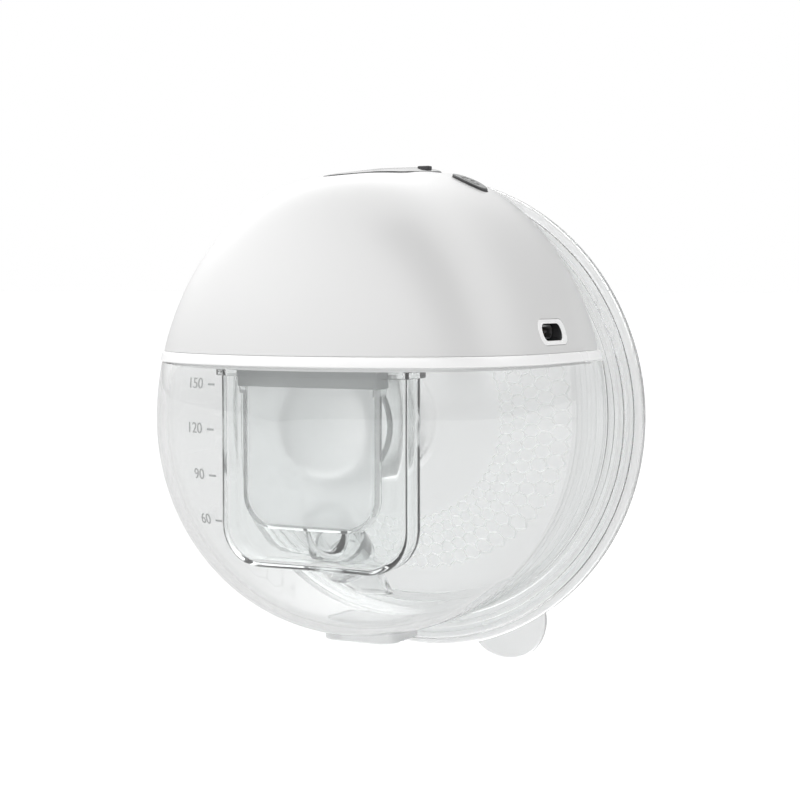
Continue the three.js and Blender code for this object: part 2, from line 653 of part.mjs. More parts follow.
node('solenoid_body', solenoidBody(), BLACK);
node('solenoid_plunger', solenoidPlunger(), STEEL);
node('plunger_spring', plungerSpring(), STEEL);

const coverEnd = COVER_LEFT + 3.3;
const nozzleEnd = NOZZLE_X + 4.2;

// From the air nozzle round to the pump inlet
const suctionRoute = [
  [nozzleEnd, NOZZLE_T, BARB_Z], [23, NOZZLE_T, BARB_Z], [28, 53, 22], [29.5, 52, 28], [28, 51, 34],
  [24, INLET[0], INLET[1]], [coverEnd, ...INLET],
];
// From the pump's second port round to the release valve
const releaseRoute = [
  [coverEnd, ...OUTLET], [22, ...OUTLET], [VALVE_X, 42, 25.5], [VALVE_X, 39.5, RELEASE_Z],
  [VALVE_X, VALVE_T + VALVE_HALF + GAP, RELEASE_Z],
];
node('suction_hose', hose(suctionRoute, HOSE_OUTER, HOSE_BORE, 14), SILICONE);
node('release_hose', hose(releaseRoute, HOSE_OUTER, HOSE_BORE, 9), SILICONE);

export default model;
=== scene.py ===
"""Looks of a wearable breast pump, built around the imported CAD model.

Shapes are worked out in millimetres about the centre of the flange rim: x is to the right, t is the
distance forward of the rim plane and z is up. at() turns such a point into Blender's metres.
"""
import math

import bmesh
import bpy
from mathutils import Matrix, Vector


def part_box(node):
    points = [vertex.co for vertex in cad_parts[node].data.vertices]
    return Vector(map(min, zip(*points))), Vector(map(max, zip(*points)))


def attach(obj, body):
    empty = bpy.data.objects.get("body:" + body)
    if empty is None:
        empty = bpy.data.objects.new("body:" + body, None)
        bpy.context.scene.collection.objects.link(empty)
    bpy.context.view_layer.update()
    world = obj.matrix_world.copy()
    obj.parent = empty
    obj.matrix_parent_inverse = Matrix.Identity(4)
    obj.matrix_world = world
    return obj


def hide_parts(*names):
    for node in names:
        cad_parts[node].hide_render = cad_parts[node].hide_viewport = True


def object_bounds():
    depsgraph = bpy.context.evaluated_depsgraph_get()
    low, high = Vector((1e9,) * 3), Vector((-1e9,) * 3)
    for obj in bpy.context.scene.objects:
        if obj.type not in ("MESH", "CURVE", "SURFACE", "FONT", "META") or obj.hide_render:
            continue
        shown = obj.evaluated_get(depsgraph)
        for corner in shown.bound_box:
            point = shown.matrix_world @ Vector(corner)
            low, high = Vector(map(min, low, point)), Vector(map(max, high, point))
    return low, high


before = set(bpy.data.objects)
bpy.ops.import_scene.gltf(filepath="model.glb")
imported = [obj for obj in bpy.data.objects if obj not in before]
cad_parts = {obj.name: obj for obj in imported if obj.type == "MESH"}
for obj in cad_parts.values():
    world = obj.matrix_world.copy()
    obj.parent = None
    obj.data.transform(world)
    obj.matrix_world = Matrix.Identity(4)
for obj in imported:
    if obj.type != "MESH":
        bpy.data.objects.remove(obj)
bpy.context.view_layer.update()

MM = 0.001

# ---- driving dimensions (mm)

GAP = 0.3                # play between pieces that come apart
FAR = 120.0              # past every surface, for shapes that only cut
WALL = 2.0
HALF_WIDTH = 49.8
TOP_HEIGHT = 60.2
LOW_HEIGHT = 51.2
DEPTH = 74.8
FINE = 256               # sides of the large rings
NOSE = 5                 # the egg is a superellipse with this exponent for its depth
SHOULDER = 1.73          # and this one for its width and height

PARTING_Z = 14.1
FLOOR_TOP = 16.45
BAND_PROUD = 0.4
BAND_EDGE = 0.45
RIB_DEPTH = 1.0
RIB_WIDTH = 1.2
SEAM = 0.1               # gap of the seams that stay closed
MOTOR_BACK = 4.4
SCREW_PLACES = [(-32, 42), (32, 42), (-36, 13), (36, 13)]
BOSS_RADIUS = 3.0
BOSS_BOTTOM = 19.3
COLUMN_RADIUS = 4.0
SCREW_HEAD = 2.4
SCREW_SHANK = 1.3
HEAD_TOP = 16.7
NOZZLE_PLACE = (13, 54)
NOZZLE_HOLE = 2.6

RIM_RADIUS = 58.5
RING_INNER = 47.0
RING_OUTER = 56.3
RING_BACK = 1.2
RING_FRONT = 2.8
# Ribs on the front of the ring: outer radius, inner radius and t of the top
RIBS = [(RING_OUTER, 55.0, 3.9), (53.9, 52.7, 3.9), (51.4, 50.9, 3.3)]

TUNNEL_RADIUS = 12.0
TUNNEL_OUTER = 14.1
TUNNEL_FRONT = 45.0
TUBE_RADIUS = 12.4
TUBE_BORE = 10.6
TUBE_BACK = 30.0

FOOT_T = 29.0
FOOT_WIDTH = 19.0
FOOT_LENGTH = 17.0
FOOT_Z = -51.9
FOOT_CORNER = 4.0
# The number and the height of each graduation
GRADUATIONS = [("150", 9.9), ("120", 0.0), ("90", -10.3), ("60", -20.6)]
TICK_LEFT = -18.6
TICK_STEP = 0.7
TICK_HALF_HEIGHT = 0.22
NUMBER_RIGHT = -20.2
NUMBER_SIZE = 3.4
PRINT_LIFT = 0.12
PRINT_SUNK = 0.02

BOX_HALF = 23.5
BOX_BACK = 49.5
BOX_FRONT = 58.5
BOX_BOTTOM = -32.0
BOX_TOP = 12.8
BOX_CORNER = 10.0
BOX_WALL = 1.3
LIP_HALF = 24.5
LIP_PROUD = 0.9
LIP_CORNER = 2.0
LIP_HEIGHT = 1.6
POCKET_X = -1.5
POCKET_HALF = 17.0
POCKET_BOTTOM = -23.5
POCKET_CORNER = 8.0
POCKET_WALL = 0.9
POCKET_BACK = 51.9
POCKET_FRONT = 56.8
POCKET_TOP = 9.2
SEAL_BOTTOM = 8.8

SEAT_Z = -23.7
SEAT_SLOPE = math.radians(40)
SEAT_OUTER = 5.7
SEAT_BORE = 4.4
SEAT_LENGTH = 11.0
VALVE_OUTER = 7.0
BEAK_END = 28.0
BEAK_TIP = 1.6

# The bell's front and rear surfaces, as radius and t
BELL_FRONT = [
    (TUNNEL_OUTER, 22.5), (14.9, 19.8), (17, 17.2), (22, 13), (27.7, 9.6), (33, 6.4), (39, 3.6), (43, 1.95),
    (46.2, 0.98), (47.5, RING_BACK - GAP),
]
BELL_REAR = [
    (48.5, 0), (44, 0.3), (39, 1.7), (33, 4.3), (27.7, 7.4), (22, 10.9), (17, 14.7), (13.6, 17.9),
    (12.3, 19.8), (TUNNEL_RADIUS, 22),
]
LIP_FRONT = 4.0
TAB_ANGLE = math.radians(25)
TAB_REACH = 55.3
TAB_RADIUS = 10.2
TAB_THICK = 2.0
COMB_INNER = 27.0
COMB_OUTER = 39.5
COMB_CELLS = 66
COMB_HEIGHT = 0.16
COMB_SUNK = 0.1
COMB_WIDTH = 0.1         # half width of a ridge's foot, as a share of a cell's side

BUTTON_X = 18.0
BUTTON_T = 12.5
BUTTON_RADIUS = 4.2
BUTTON_COLLAR = BUTTON_RADIUS + 0.8
COLLAR_LOW = 47.9
COLLAR_HIGH = 48.8
PANEL_HALF = 11.0
PANEL_BACK = 9.0
PANEL_FRONT = 37.0
PANEL_CORNER = 6.0
WINDOW_HALF = 9.6
WINDOW_BACK = 12.5
WINDOW_FRONT = 31.0
CROWN_CUT = (40, 70)     # heights between which a cutter passes through the crown
BAR_X = 7.0
BAR_T = 14.6
BAR_HALF_X = 1.6
BAR_HALF_T = 1.1
BAR_PROUD = 0.75
BAR_FOOT_LOW = 54.4
DISH_X = -2.0
DISH_T = 36.0
DISH_DEPTH = 1.8
DISH_REACH = 8.5
DISH_LOWEST = 45.0       # below this the shell keeps its shape
STEM_BOTTOM = 47.6
STEM_RADIUS = 1.3
BUTTON_PROUD = 0.7

PORT_T = 30.0
PORT_Z = 21.2
MOUTH_HALF_LENGTH = 5.0
MOUTH_HALF_HEIGHT = 1.9
BEZEL_T = 29.3
BEZEL_HALF_LENGTH = 7.1
BEZEL_HALF_HEIGHT = 2.9
BEZEL_CORNER = 2.4
MOUTH_CORNER = 1.7
BEZEL_BACK_X = 42.5
SOCKET_HALF_LENGTH = 4.5
SOCKET_HALF_HEIGHT = 1.6
SOCKET_WALL = 0.4
SOCKET_BACK_X = 36.5
SOCKET_FLOOR_X = 37.5
SOCKET_FRONT_X = 44.4

SPRING_X = 25.5
SPRING_T = 30.5
SPRING_LOW = 29.6
SPRING_HIGH = 32.1
SPRING_RADIUS = 2.85
SPRING_WIRE = 0.3
SPRING_TURNS = 5

# The rim centre in the frame, from the flange's own box
FLANGE_LOW, FLANGE_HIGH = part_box("flange")
RIM_Y = FLANGE_HIGH.y / MM
RIM_Z = FLANGE_HIGH.z / MM - RIM_RADIUS


def at(x, t, z):
    """Blender's place of a point about the rim's centre."""
    return Vector((x, RIM_Y - t, RIM_Z + z)) * MM


def local(place):
    """x, t and z of Blender's place."""
    return place.x / MM, RIM_Y - place.y / MM, place.z / MM - RIM_Z


# ---- the egg-shaped surface


def size_at(t):
    """Share of the full width and height that is left at a depth."""
    return max(0.0, 1 - (t / DEPTH) ** NOSE) ** (1 / SHOULDER)


def crown(x, t):
    """Height of the surface over a point of the crown."""
    size = size_at(t)
    return TOP_HEIGHT * size * math.sqrt(max(0.0, 1 - (x / (HALF_WIDTH * size)) ** 2))


def dish(x, t):
    """How far the finger dish in front of the panel sinks below the crown."""
    return DISH_DEPTH * math.exp(-((x - DISH_X) ** 2 + (t - DISH_T) ** 2) / (2 * DISH_REACH ** 2))


def lid(x, t):
    """Height of the crown with its finger dish."""
    return crown(x, t) - dish(x, t)


def flank(t, z):
    """Half width of the surface at a depth and height."""
    size = size_at(t)
    high = TOP_HEIGHT if z > 0 else LOW_HEIGHT
    return HALF_WIDTH * size * math.sqrt(max(0.0, 1 - (z / (high * size)) ** 2))


def nose(x, z):
    """How far forward the surface is at a place seen from the front."""
    size = math.hypot(x / HALF_WIDTH, z / (TOP_HEIGHT if z > 0 else LOW_HEIGHT))
    return DEPTH * max(0.0, 1 - size ** SHOULDER) ** (1 / NOSE)


# ---- mesh making


def loft(rings, loop=False):
    """Closed surface through rings of the same number of points. A ring of one point is a pole."""
    points, starts, faces = [], [], []
    for ring in rings:
        starts.append(len(points))
        points.extend(ring)
    pairs = list(zip(range(len(rings)), range(1, len(rings))))
    if loop:
        pairs.append((len(rings) - 1, 0))
    for a, b in pairs:
        count = max(len(rings[a]), len(rings[b]))
        for i in range(count):
            j = (i + 1) % count
            corners = [
                starts[a] + i % len(rings[a]), starts[a] + j % len(rings[a]),
                starts[b] + j % len(rings[b]), starts[b] + i % len(rings[b]),
            ]
            face = [c for k, c in enumerate(corners) if c != corners[k - 1]]
            faces.append(face)
    if not loop:
        for k, ring in ((0, rings[0]), (-1, rings[-1])):
            if len(ring) > 1:
                start = starts[k]
                faces.append(list(range(start, start + len(ring))))
    return points, faces


def lathe(profile, segments=160, loop=True, squash=None):
    """Body turned about the flange axis from [radius, t]. A radius of 0 makes a pole."""
    rings = []
    for radius, t in profile:
        if radius == 0:
            rings.append([(0.0, t, 0.0)])
            continue
        ring = []
        for i in range(segments):
            angle = 2 * math.pi * i / segments
            x, z = radius * math.cos(angle), radius * math.sin(angle)
            ring.append((x, t, z) if squash is None else squash(x, t, z))
        rings.append(ring)
    return loft(rings, loop)


def rounded(points, radii, steps=4):
    """A closed polyline with its corners rounded by their radii. A radius of 0 keeps the corner."""
    result = []
    for i, (px, py) in enumerate(points):
        if radii[i] == 0:
            result.append((px, py))
            continue
        corner = Vector((px, py))
        back = Vector(points[i - 1]) - corner
        ahead = Vector(points[(i + 1) % len(points)]) - corner
        angle = back.angle(ahead)
        if angle > math.radians(178):
            result.append((px, py))
            continue
        reach = min(radii[i] / math.tan(angle / 2), back.length * 0.49, ahead.length * 0.49)
        start, end = corner + back.normalized() * reach, corner + ahead.normalized() * reach
        for k in range(steps + 1):
            f = k / steps
            result.append(tuple(start * (1 - f) ** 2 + corner * 2 * f * (1 - f) + end * f ** 2))
    return result


def smooth_path(points, steps=8):
    """Catmull-Rom curve through points of two or three numbers."""
    path = []
    last = len(points) - 1
    for i in range(last):
        p0, p1 = Vector(points[max(0, i - 1)]), Vector(points[i])
        p2, p3 = Vector(points[i + 1]), Vector(points[min(last, i + 2)])
        for k in range(steps):
            f = k / steps
            path.append(tuple(0.5 * (
                2 * p1 + (p2 - p0) * f + (2 * p0 - 5 * p1 + 4 * p2 - p3) * f ** 2
                + (3 * p1 - p0 - 3 * p2 + p3) * f ** 3
            )))
    path.append(tuple(points[-1]))
    return path


def rectangle(u0, u1, v0, v1, r, steps=6):
    """Points round a rectangle with rounded corners, the same number whatever its size."""
    r = max(r, 0.01)
    points = []
    for cu, cv, turn in ((u1 - r, v1 - r, 0), (u0 + r, v1 - r, 1), (u0 + r, v0 + r, 2), (u1 - r, v0 + r, 3)):
        for k in range(steps + 1):
            angle = (turn + k / steps) * math.pi / 2
            points.append((cu + r * math.cos(angle), cv + r * math.sin(angle)))
    return points


def edge_steps(low, high, edge, steps=3):
    """(inset, level) pairs of a slab with rounded edges."""
    start = []
    for k in range(steps + 1):
        angle = (math.pi / 2) * k / steps
        start.append((edge * (1 - math.sin(angle)), low + edge * (1 - math.cos(angle))))
    return start + [(inset, low + high - level) for inset, level in reversed(start)]


def slab_z(x0, x1, t0, t1, r, z0, z1, edge=0.2):
    """Slab lying flat, rounded as seen from above."""
    return loft([
        [(x, t, z) for x, t in rectangle(x0 + i, x1 - i, t0 + i, t1 - i, r - i)]
        for i, z in edge_steps(z0, z1, edge)
    ])


def slab_x(t0, t1, z0, z1, r, x0, x1, edge=0.2):
    """Slab facing sideways, rounded as seen from the side."""
    return loft([
        [(x, t, z) for t, z in rectangle(t0 + i, t1 - i, z0 + i, z1 - i, r - i)]
        for i, x in edge_steps(x0, x1, edge)
    ])


def rod(centre, radius, low, high, axis="z", edge=0.15, sides=40):
    """Round bar with rounded ends. centre is the pair of coordinates across the axis."""
    rings = []
    for inset, level in edge_steps(low, high, edge):
        ring = []
        for i in range(sides):
            angle = 2 * math.pi * i / sides
            u = centre[0] + (radius - inset) * math.cos(angle)
            v = centre[1] + (radius - inset) * math.sin(angle)
            ring.append({"z": (u, v, level), "t": (u, level, v), "x": (level, u, v)}[axis])
        rings.append(ring)
    return loft(rings)


def dome(inset, back, segments=192, rings=72, edge=0.0):
    """The egg-shaped body, from its back plane to its nose, with the back edge rounded if asked."""
    half, depth = HALF_WIDTH - inset, DEPTH - inset
    above, below = (TOP_HEIGHT - inset) / half, (LOW_HEIGHT - inset) / half
    profile = [(0, back)]
    steps = 4 if edge else 0
    for k in range(steps + 1):
        angle = (math.pi / 2) * k / max(steps, 1)
        profile.append((half - edge * (1 - math.sin(angle)), back + edge * (1 - math.cos(angle))))
    for i in range(1, rings + 1):
        angle = (math.pi / 2) * i / rings
        t = depth * math.sin(angle) ** (2 / NOSE)
        if t > back + edge + 0.5:
            profile.append((0 if i == rings else half * math.cos(angle) ** (2 / SHOULDER), t))
    return lathe(profile, segments, False, lambda x, t, z: (x, t, z * (above if z > 0 else below)))


def layer(low, high, back=-FAR):
    """Everything between two heights, in front of a depth."""
    corners = [(-FAR, back), (FAR, back), (FAR, FAR), (-FAR, FAR)]
    return loft([[(x, t, z) for x, t in corners] for z in (low, high)])


def draped(outline, levels, height):
    """Plate that follows a surface. levels are (how much the outline is shrunk, lift above the surface)."""
    return loft([[(x, t, height(x, t) + lift) for x, t in outline(inset)] for inset, lift in levels])


def add_object(name, data):
    """New object in the scene."""
    obj = bpy.data.objects.new(name, data)
    bpy.context.scene.collection.objects.link(obj)
    return obj


def hull(shape):
    """Mesh object of a loft, its faces turned outward."""
    points, faces = shape
    mesh = bpy.data.meshes.new("scratch")
    mesh.from_pydata([at(*p) for p in points], [], faces)
    work = bmesh.new()
    work.from_mesh(mesh)
    bmesh.ops.recalc_face_normals(work, faces=work.faces)
    work.to_mesh(mesh)
    work.free()
    return add_object("scratch", mesh)


def settle(obj):
    """Applies an object's modifiers to its mesh."""
    bpy.context.view_layer.update()
    graph = bpy.context.evaluated_depsgraph_get()
    mesh = bpy.data.meshes.new_from_object(obj.evaluated_get(graph))
    old = obj.data
    obj.modifiers.clear()
    obj.data = mesh
    bpy.data.meshes.remove(old)
    return obj


def combine(obj, shape, operation):
    """Joins a loft to an object or cuts it out. operation is UNION, DIFFERENCE or INTERSECT."""
    tool = shape if isinstance(shape, bpy.types.Object) else hull(shape)
    modifier = obj.modifiers.new("join", "BOOLEAN")
    modifier.operation = operation
    modifier.solver = "MANIFOLD"
    modifier.object = tool
    settle(obj)
    mesh = tool.data
    bpy.data.objects.remove(tool)
    bpy.data.meshes.remove(mesh)
    return obj


def build(base, *steps):
    """Starts from a loft and joins (+) or cuts (-) further lofts."""
    obj = hull(base)
    names = {"+": "UNION", "-": "DIFFERENCE", "&": "INTERSECT"}
    for sign, shape in steps:
        combine(obj, shape, names[sign])
    return obj


def piece(name, obj, materials, body, slot, *nodes, sharp=32):
    """Names a finished object, gives it its material and body, and says which nodes it stands for."""
    if not isinstance(obj, bpy.types.Object):
        obj = hull(obj)
    obj.name = name
    obj.data.name = name
    obj.data.materials.clear()
    for material in materials if isinstance(materials, (list, tuple)) else [materials]:
        obj.data.materials.append(material)
    for polygon in obj.data.polygons:
        polygon.use_smooth = True
    obj.data.set_sharp_from_angle(angle=math.radians(sharp))
    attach(obj, body)
    if nodes:
        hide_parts(*nodes)
    return obj


def paint(obj, rule):
    """Gives each face the number of its finish, by a rule of its x, t, z and normal."""
    for polygon in obj.data.polygons:
        polygon.material_index = rule(*local(polygon.center), polygon.normal)


# ---- materials


class Surface:
    """A node material with a few short ways to add procedural detail."""

    def __init__(self, name, colour, roughness, **settings):
        self.material = bpy.data.materials.new(name)
        self.material.use_nodes = True
        self.nodes = self.material.node_tree.nodes
        self.links = self.material.node_tree.links
        self.shader = self.nodes["Principled BSDF"]
        self.output = self.nodes["Material Output"]
        self.shader.inputs["Base Color"].default_value = (*colour, 1)
        self.shader.inputs["Roughness"].default_value = roughness
        for key, value in settings.items():
            self.shader.inputs[key.replace("_", " ")].default_value = value
        self.place = self.nodes.new("ShaderNodeTexCoord").outputs["Object"]

    def noise(self, scale, detail=3):
        node = self.nodes.new("ShaderNodeTexNoise")
        node.inputs["Scale"].default_value = scale
        node.inputs["Detail"].default_value = detail
        self.links.new(self.place, node.inputs["Vector"])
        return node.outputs["Fac"]

    def ranged(self, value, low, high):
        node = self.nodes.new("ShaderNodeMapRange")
        node.inputs["To Min"].default_value = low
        node.inputs["To Max"].default_value = high
        self.links.new(value, node.inputs["Value"])
        return node.outputs["Result"]

    def rough(self, scale, low, high):
        """Roughness that varies over the surface."""
        self.links.new(self.ranged(self.noise(scale), low, high), self.shader.inputs["Roughness"])
        return self

    def grain(self, scale, depth, strength=0.3, detail=3):
        """Fine bump. depth is in millimetres."""
        node = self.nodes.new("ShaderNodeBump")
        node.inputs["Distance"].default_value = depth * MM
        node.inputs["Strength"].default_value = strength
        self.links.new(self.noise(scale, detail), node.inputs["Height"])
        self.links.new(node.outputs["Normal"], self.shader.inputs["Normal"])
        return self

    def tinted(self, scale, first, second):
        """Base colour that drifts between two close tones."""
        node = self.nodes.new("ShaderNodeMix")
        node.data_type = "RGBA"
        node.inputs["A"].default_value = (*first, 1)
        node.inputs["B"].default_value = (*second, 1)
        self.links.new(self.noise(scale), node.inputs["Factor"])
        self.links.new(node.outputs["Result"], self.shader.inputs["Base Color"])
        return self

    def painted_glow(self, strength):
        """Painted glow: emission that lightens the surface under any lamps, in place of light scattered
        inside the plastic.
        """
        self.shader.inputs["Emission Color"].default_value = (1, 1, 1, 1)
        self.shader.inputs["Emission Strength"].default_value = strength
        return self

    def lets_light_through(self, tint):
        """Lamps shine through instead of casting a black shadow."""
        path = self.nodes.new("ShaderNodeLightPath").outputs["Is Shadow Ray"]
        clear = self.nodes.new("ShaderNodeBsdfTransparent")
        clear.inputs["Color"].default_value = (*tint, 1)
        mix = self.nodes.new("ShaderNodeMixShader")
        self.links.new(path, mix.inputs["Fac"])
        self.links.new(self.shader.outputs["BSDF"], mix.inputs[1])
        self.links.new(clear.outputs["BSDF"], mix.inputs[2])
        self.links.new(mix.outputs["Shader"], self.output.inputs["Surface"])
        return self


def clear(name, colour, roughness, transmission, ior, shade, *rough):
    """Clear or milky material. shade is what is left of a lamp's light behind it."""
    surface = Surface(name, colour, roughness, Transmission_Weight=transmission, IOR=ior)
    return surface.rough(*rough).lets_light_through(shade)


PLASTIC_SHADE = (0.97, 0.98, 0.98)
LINKER_SHADE = (0.96, 0.97, 0.97)
SILICONE_SHADE = (0.95, 0.955, 0.955)


def make_materials():
    """All finishes by short name. The names in quotes are those of the materials."""
    m = {}
    m["housing"] = Surface(
        "satin_white", (0.83, 0.83, 0.83), 0.3, Coat_Weight=0.25, Coat_Roughness=0.25,
    ).rough(60, 0.26, 0.34).grain(2600, 0.01, 0.25).tinted(9, (0.82, 0.82, 0.82), (0.84, 0.84, 0.835))
    # Painted highlight: the base white is whiter than the housing and has a painted glow, so the band round
    # the floor reads bright
    m["base"] = Surface(
        "base_white_painted_highlight", (0.99, 0.99, 0.99), 0.28, Coat_Weight=0.3, Coat_Roughness=0.2,
    ).rough(60, 0.24, 0.32).grain(2600, 0.01, 0.2).painted_glow(0.1)
    m["clear"] = clear("clear_plastic", (0.945, 0.951, 0.95), 0.02, 1.0, 1.49, PLASTIC_SHADE, 40, 0.01, 0.035)
    m["frosted"] = clear(
        "frosted_plastic", (0.98, 0.985, 0.985), 0.3, 0.55, 1.49, PLASTIC_SHADE, 60, 0.25, 0.35,
    )
    m["linker"] = clear(
        "linker_plastic", (0.98, 0.99, 0.988), 0.03, 1.0, 1.49, LINKER_SHADE, 40, 0.015, 0.045,
    )
    m["silicone"] = clear(
        "clear_silicone", (0.99, 0.99, 0.99), 0.08, 0.95, 1.25, SILICONE_SHADE, 80, 0.06, 0.12,
    )
    # The pocket's matt inside carries a painted glow that lightens it
    m["matt_silicone"] = clear(
        "matt_silicone", (0.995, 0.995, 0.995), 0.55, 0.95, 1.41, SILICONE_SHADE, 80, 0.58, 0.66,
    ).painted_glow(0.05)
    m["valve"] = clear(
        "valve_silicone", (0.95, 0.955, 0.955), 0.06, 0.92, 1.41, SILICONE_SHADE, 80, 0.04, 0.09,
    )
    # Painted shade: this grey on the pocket's neck and the gasket stands for the shadow over the pocket's
    # open top
    m["seal"] = Surface(
        "grey_seal", (0.7, 0.71, 0.71), 0.4, Transmission_Weight=0.35, IOR=1.41,
    ).rough(120, 0.38, 0.52).grain(900, 0.02, 0.2)
    m["flange"] = clear(
        "flange_silicone", (0.985, 0.99, 0.99), 0.12, 0.84, 1.41, SILICONE_SHADE, 80, 0.08, 0.16,
    )
    m["lip"] = clear("lip_silicone", (0.92, 0.925, 0.925), 0.1, 0.72, 1.41, SILICONE_SHADE, 80, 0.07, 0.13)
    # The ridges carry a painted glow that makes them read lighter than the bell around them
    m["honeycomb"] = clear(
        "honeycomb_silicone", (0.99, 0.99, 0.99), 0.5, 0.5, 1.15, SILICONE_SHADE, 80, 0.45, 0.55,
    ).painted_glow(0.06)
    m["panel"] = Surface(
        "panel_black", (0.012, 0.012, 0.014), 0.08, Coat_Weight=0.3, Coat_Roughness=0.04,
        Specular_IOR_Level=0.25,
    ).rough(90, 0.06, 0.12)
    m["grey"] = Surface(
        "button_grey", (0.18, 0.185, 0.185), 0.45,
    ).rough(200, 0.38, 0.5).grain(1500, 0.02, 0.3)
    m["rubber_dark"] = Surface("button_rim", (0.02, 0.02, 0.021), 0.5).rough(200, 0.4, 0.55)
    m["ink"] = Surface("graduation_ink", (0.4, 0.41, 0.41), 0.5).rough(300, 0.4, 0.6)
    m["icon"] = Surface("icon_dark", (0.02, 0.02, 0.02), 0.5).rough(300, 0.4, 0.6)
    m["steel"] = Surface(
        "steel", (0.6, 0.6, 0.61), 0.3, Metallic=1.0,
    ).rough(400, 0.22, 0.4).grain(900, 0.01, 0.3)
    m["can"] = Surface("motor_can", (0.62, 0.63, 0.64), 0.32, Metallic=1.0).rough(300, 0.25, 0.42)
    m["brass"] = Surface("brass", (0.7, 0.52, 0.24), 0.28, Metallic=1.0).rough(400, 0.2, 0.36)
    m["circuit"] = Surface(
        "solder_mask", (0.02, 0.13, 0.06), 0.35,
    ).rough(300, 0.28, 0.42).tinted(500, (0.02, 0.12, 0.055), (0.03, 0.17, 0.08))
    m["foil"] = Surface(
        "battery_foil", (0.5, 0.52, 0.55), 0.35, Metallic=0.7,
    ).rough(250, 0.28, 0.45).grain(160, 0.15, 0.4)
    m["foam"] = Surface("foam", (0.03, 0.03, 0.03), 0.9).rough(600, 0.8, 1.0).grain(1800, 0.15, 0.8)
    m["nylon"] = Surface("nylon", (0.75, 0.75, 0.7), 0.5).rough(200, 0.42, 0.58).grain(1200, 0.03, 0.3)
    m["moulded"] = Surface(
        "moulded_black", (0.025, 0.025, 0.027), 0.45,
    ).rough(300, 0.38, 0.52).grain(1500, 0.02, 0.3)
    return {key: surface.material for key, surface in m.items()}


MATERIALS = make_materials()

# ---- camera, lights and floor

# The camera looks at the rim's centre from this far, moved sideways and up by the aim
AZIMUTH = math.radians(26.54)
ELEVATION = math.radians(3.49)
DISTANCE = 457.2
AIM_RIGHT = -6.2
AIM_UP = 3.02
LENS = 81.9

LAMP_DISTANCE = 0.9
# Name, azimuth, elevation, size in metres and power in watts
LAMPS = [("key", -50, 40, 0.7, 2.1), ("front", 0, 0, 0.6, 1.7), ("fill", 118, 10, 0.7, 1.3)]


def direction(azimuth, elevation):
    """Unit vector away from the object. Azimuth 0 is in front of it and 90 degrees on its right."""
    level = math.cos(elevation)
    return Vector((math.sin(azimuth) * level, -math.cos(azimuth) * level, math.sin(elevation)))


def add_camera():
    backward = direction(AZIMUTH, ELEVATION)
    right = Vector((math.cos(AZIMUTH), math.sin(AZIMUTH), 0))
    up = backward.cross(right)
    data = bpy.data.cameras.new("camera")
    data.lens = LENS
    data.sensor_width = 36
    data.clip_start = 0.01
    camera = add_object("camera", data)
    place = at(0, 0, 0) + (right * AIM_RIGHT + up * AIM_UP + backward * DISTANCE) * MM
    turn = Matrix((right, up, backward)).transposed()
    camera.matrix_world = Matrix.Translation(place) @ turn.to_4x4()
    bpy.context.scene.camera = camera


def add_area(name, azimuth, elevation, size, energy):
    """Soft lamp aimed at the object, with its angles in degrees. Only matt surfaces see it."""
    middle = at(0, 35, 0)
    away = direction(math.radians(azimuth), math.radians(elevation))
    data = bpy.data.lights.new(name, "AREA")
    data.energy = energy
    data.size = size
    light = add_object(name, data)
    light.location = middle + away * LAMP_DISTANCE
    light.rotation_euler = away.to_track_quat("Z", "Y").to_euler()
    light.visible_glossy = False
    light.visible_transmission = False


class Graph:
    """Short ways to write a chain of math nodes."""

    def __init__(self, tree):
        self.tree = tree

    def put(self, value, socket):
        if isinstance(value, bpy.types.NodeSocket):
            self.tree.links.new(value, socket)
        else:
            socket.default_value = value

    def math(self, operation, *values):
        node = self.tree.nodes.new("ShaderNodeMath")
        node.operation = operation
        for value, socket in zip(values, node.inputs):
            self.put(value, socket)
        return node.outputs["Value"]

    def dot(self, vector, direction):
        node = self.tree.nodes.new("ShaderNodeVectorMath")
        node.operation = "DOT_PRODUCT"
        self.put(vector, node.inputs[0])
        node.inputs[1].default_value = direction
        return node.outputs["Value"]

    def smooth(self, value, low, high):
        node = self.tree.nodes.new("ShaderNodeMapRange")
        node.interpolation_type = "SMOOTHSTEP"
        self.put(value, node.inputs["Value"])
        node.inputs["From Min"].default_value = low
        node.inputs["From Max"].default_value = high
        return node.outputs["Result"]


# Brightness of the sky as the camera, matt surfaces and glossy surfaces see it, and as it is
# seen through clear pieces toward the backdrop and away from it
SKY_CAMERA = 1.0
SKY_DIFFUSE = 0.5
SKY_GLOSSY = 2.8
SKY_THROUGH = 0.87
SKY_THROUGH_SIDE = 0.1
BACKDROP = (-0.447, 0.894, 0)
REAR_RIGHT = (0.3, 0.954, 0)
REAR_DIMMING = 0.85
GAP_AZIMUTH = math.radians(70)

FLOOR_GLOW = 0.45
FLOOR_GLOW_SEEN = 0.25   # added where the camera sees the floor
FLOOR_REACH = 40
FLOOR_DROP = 0.0005


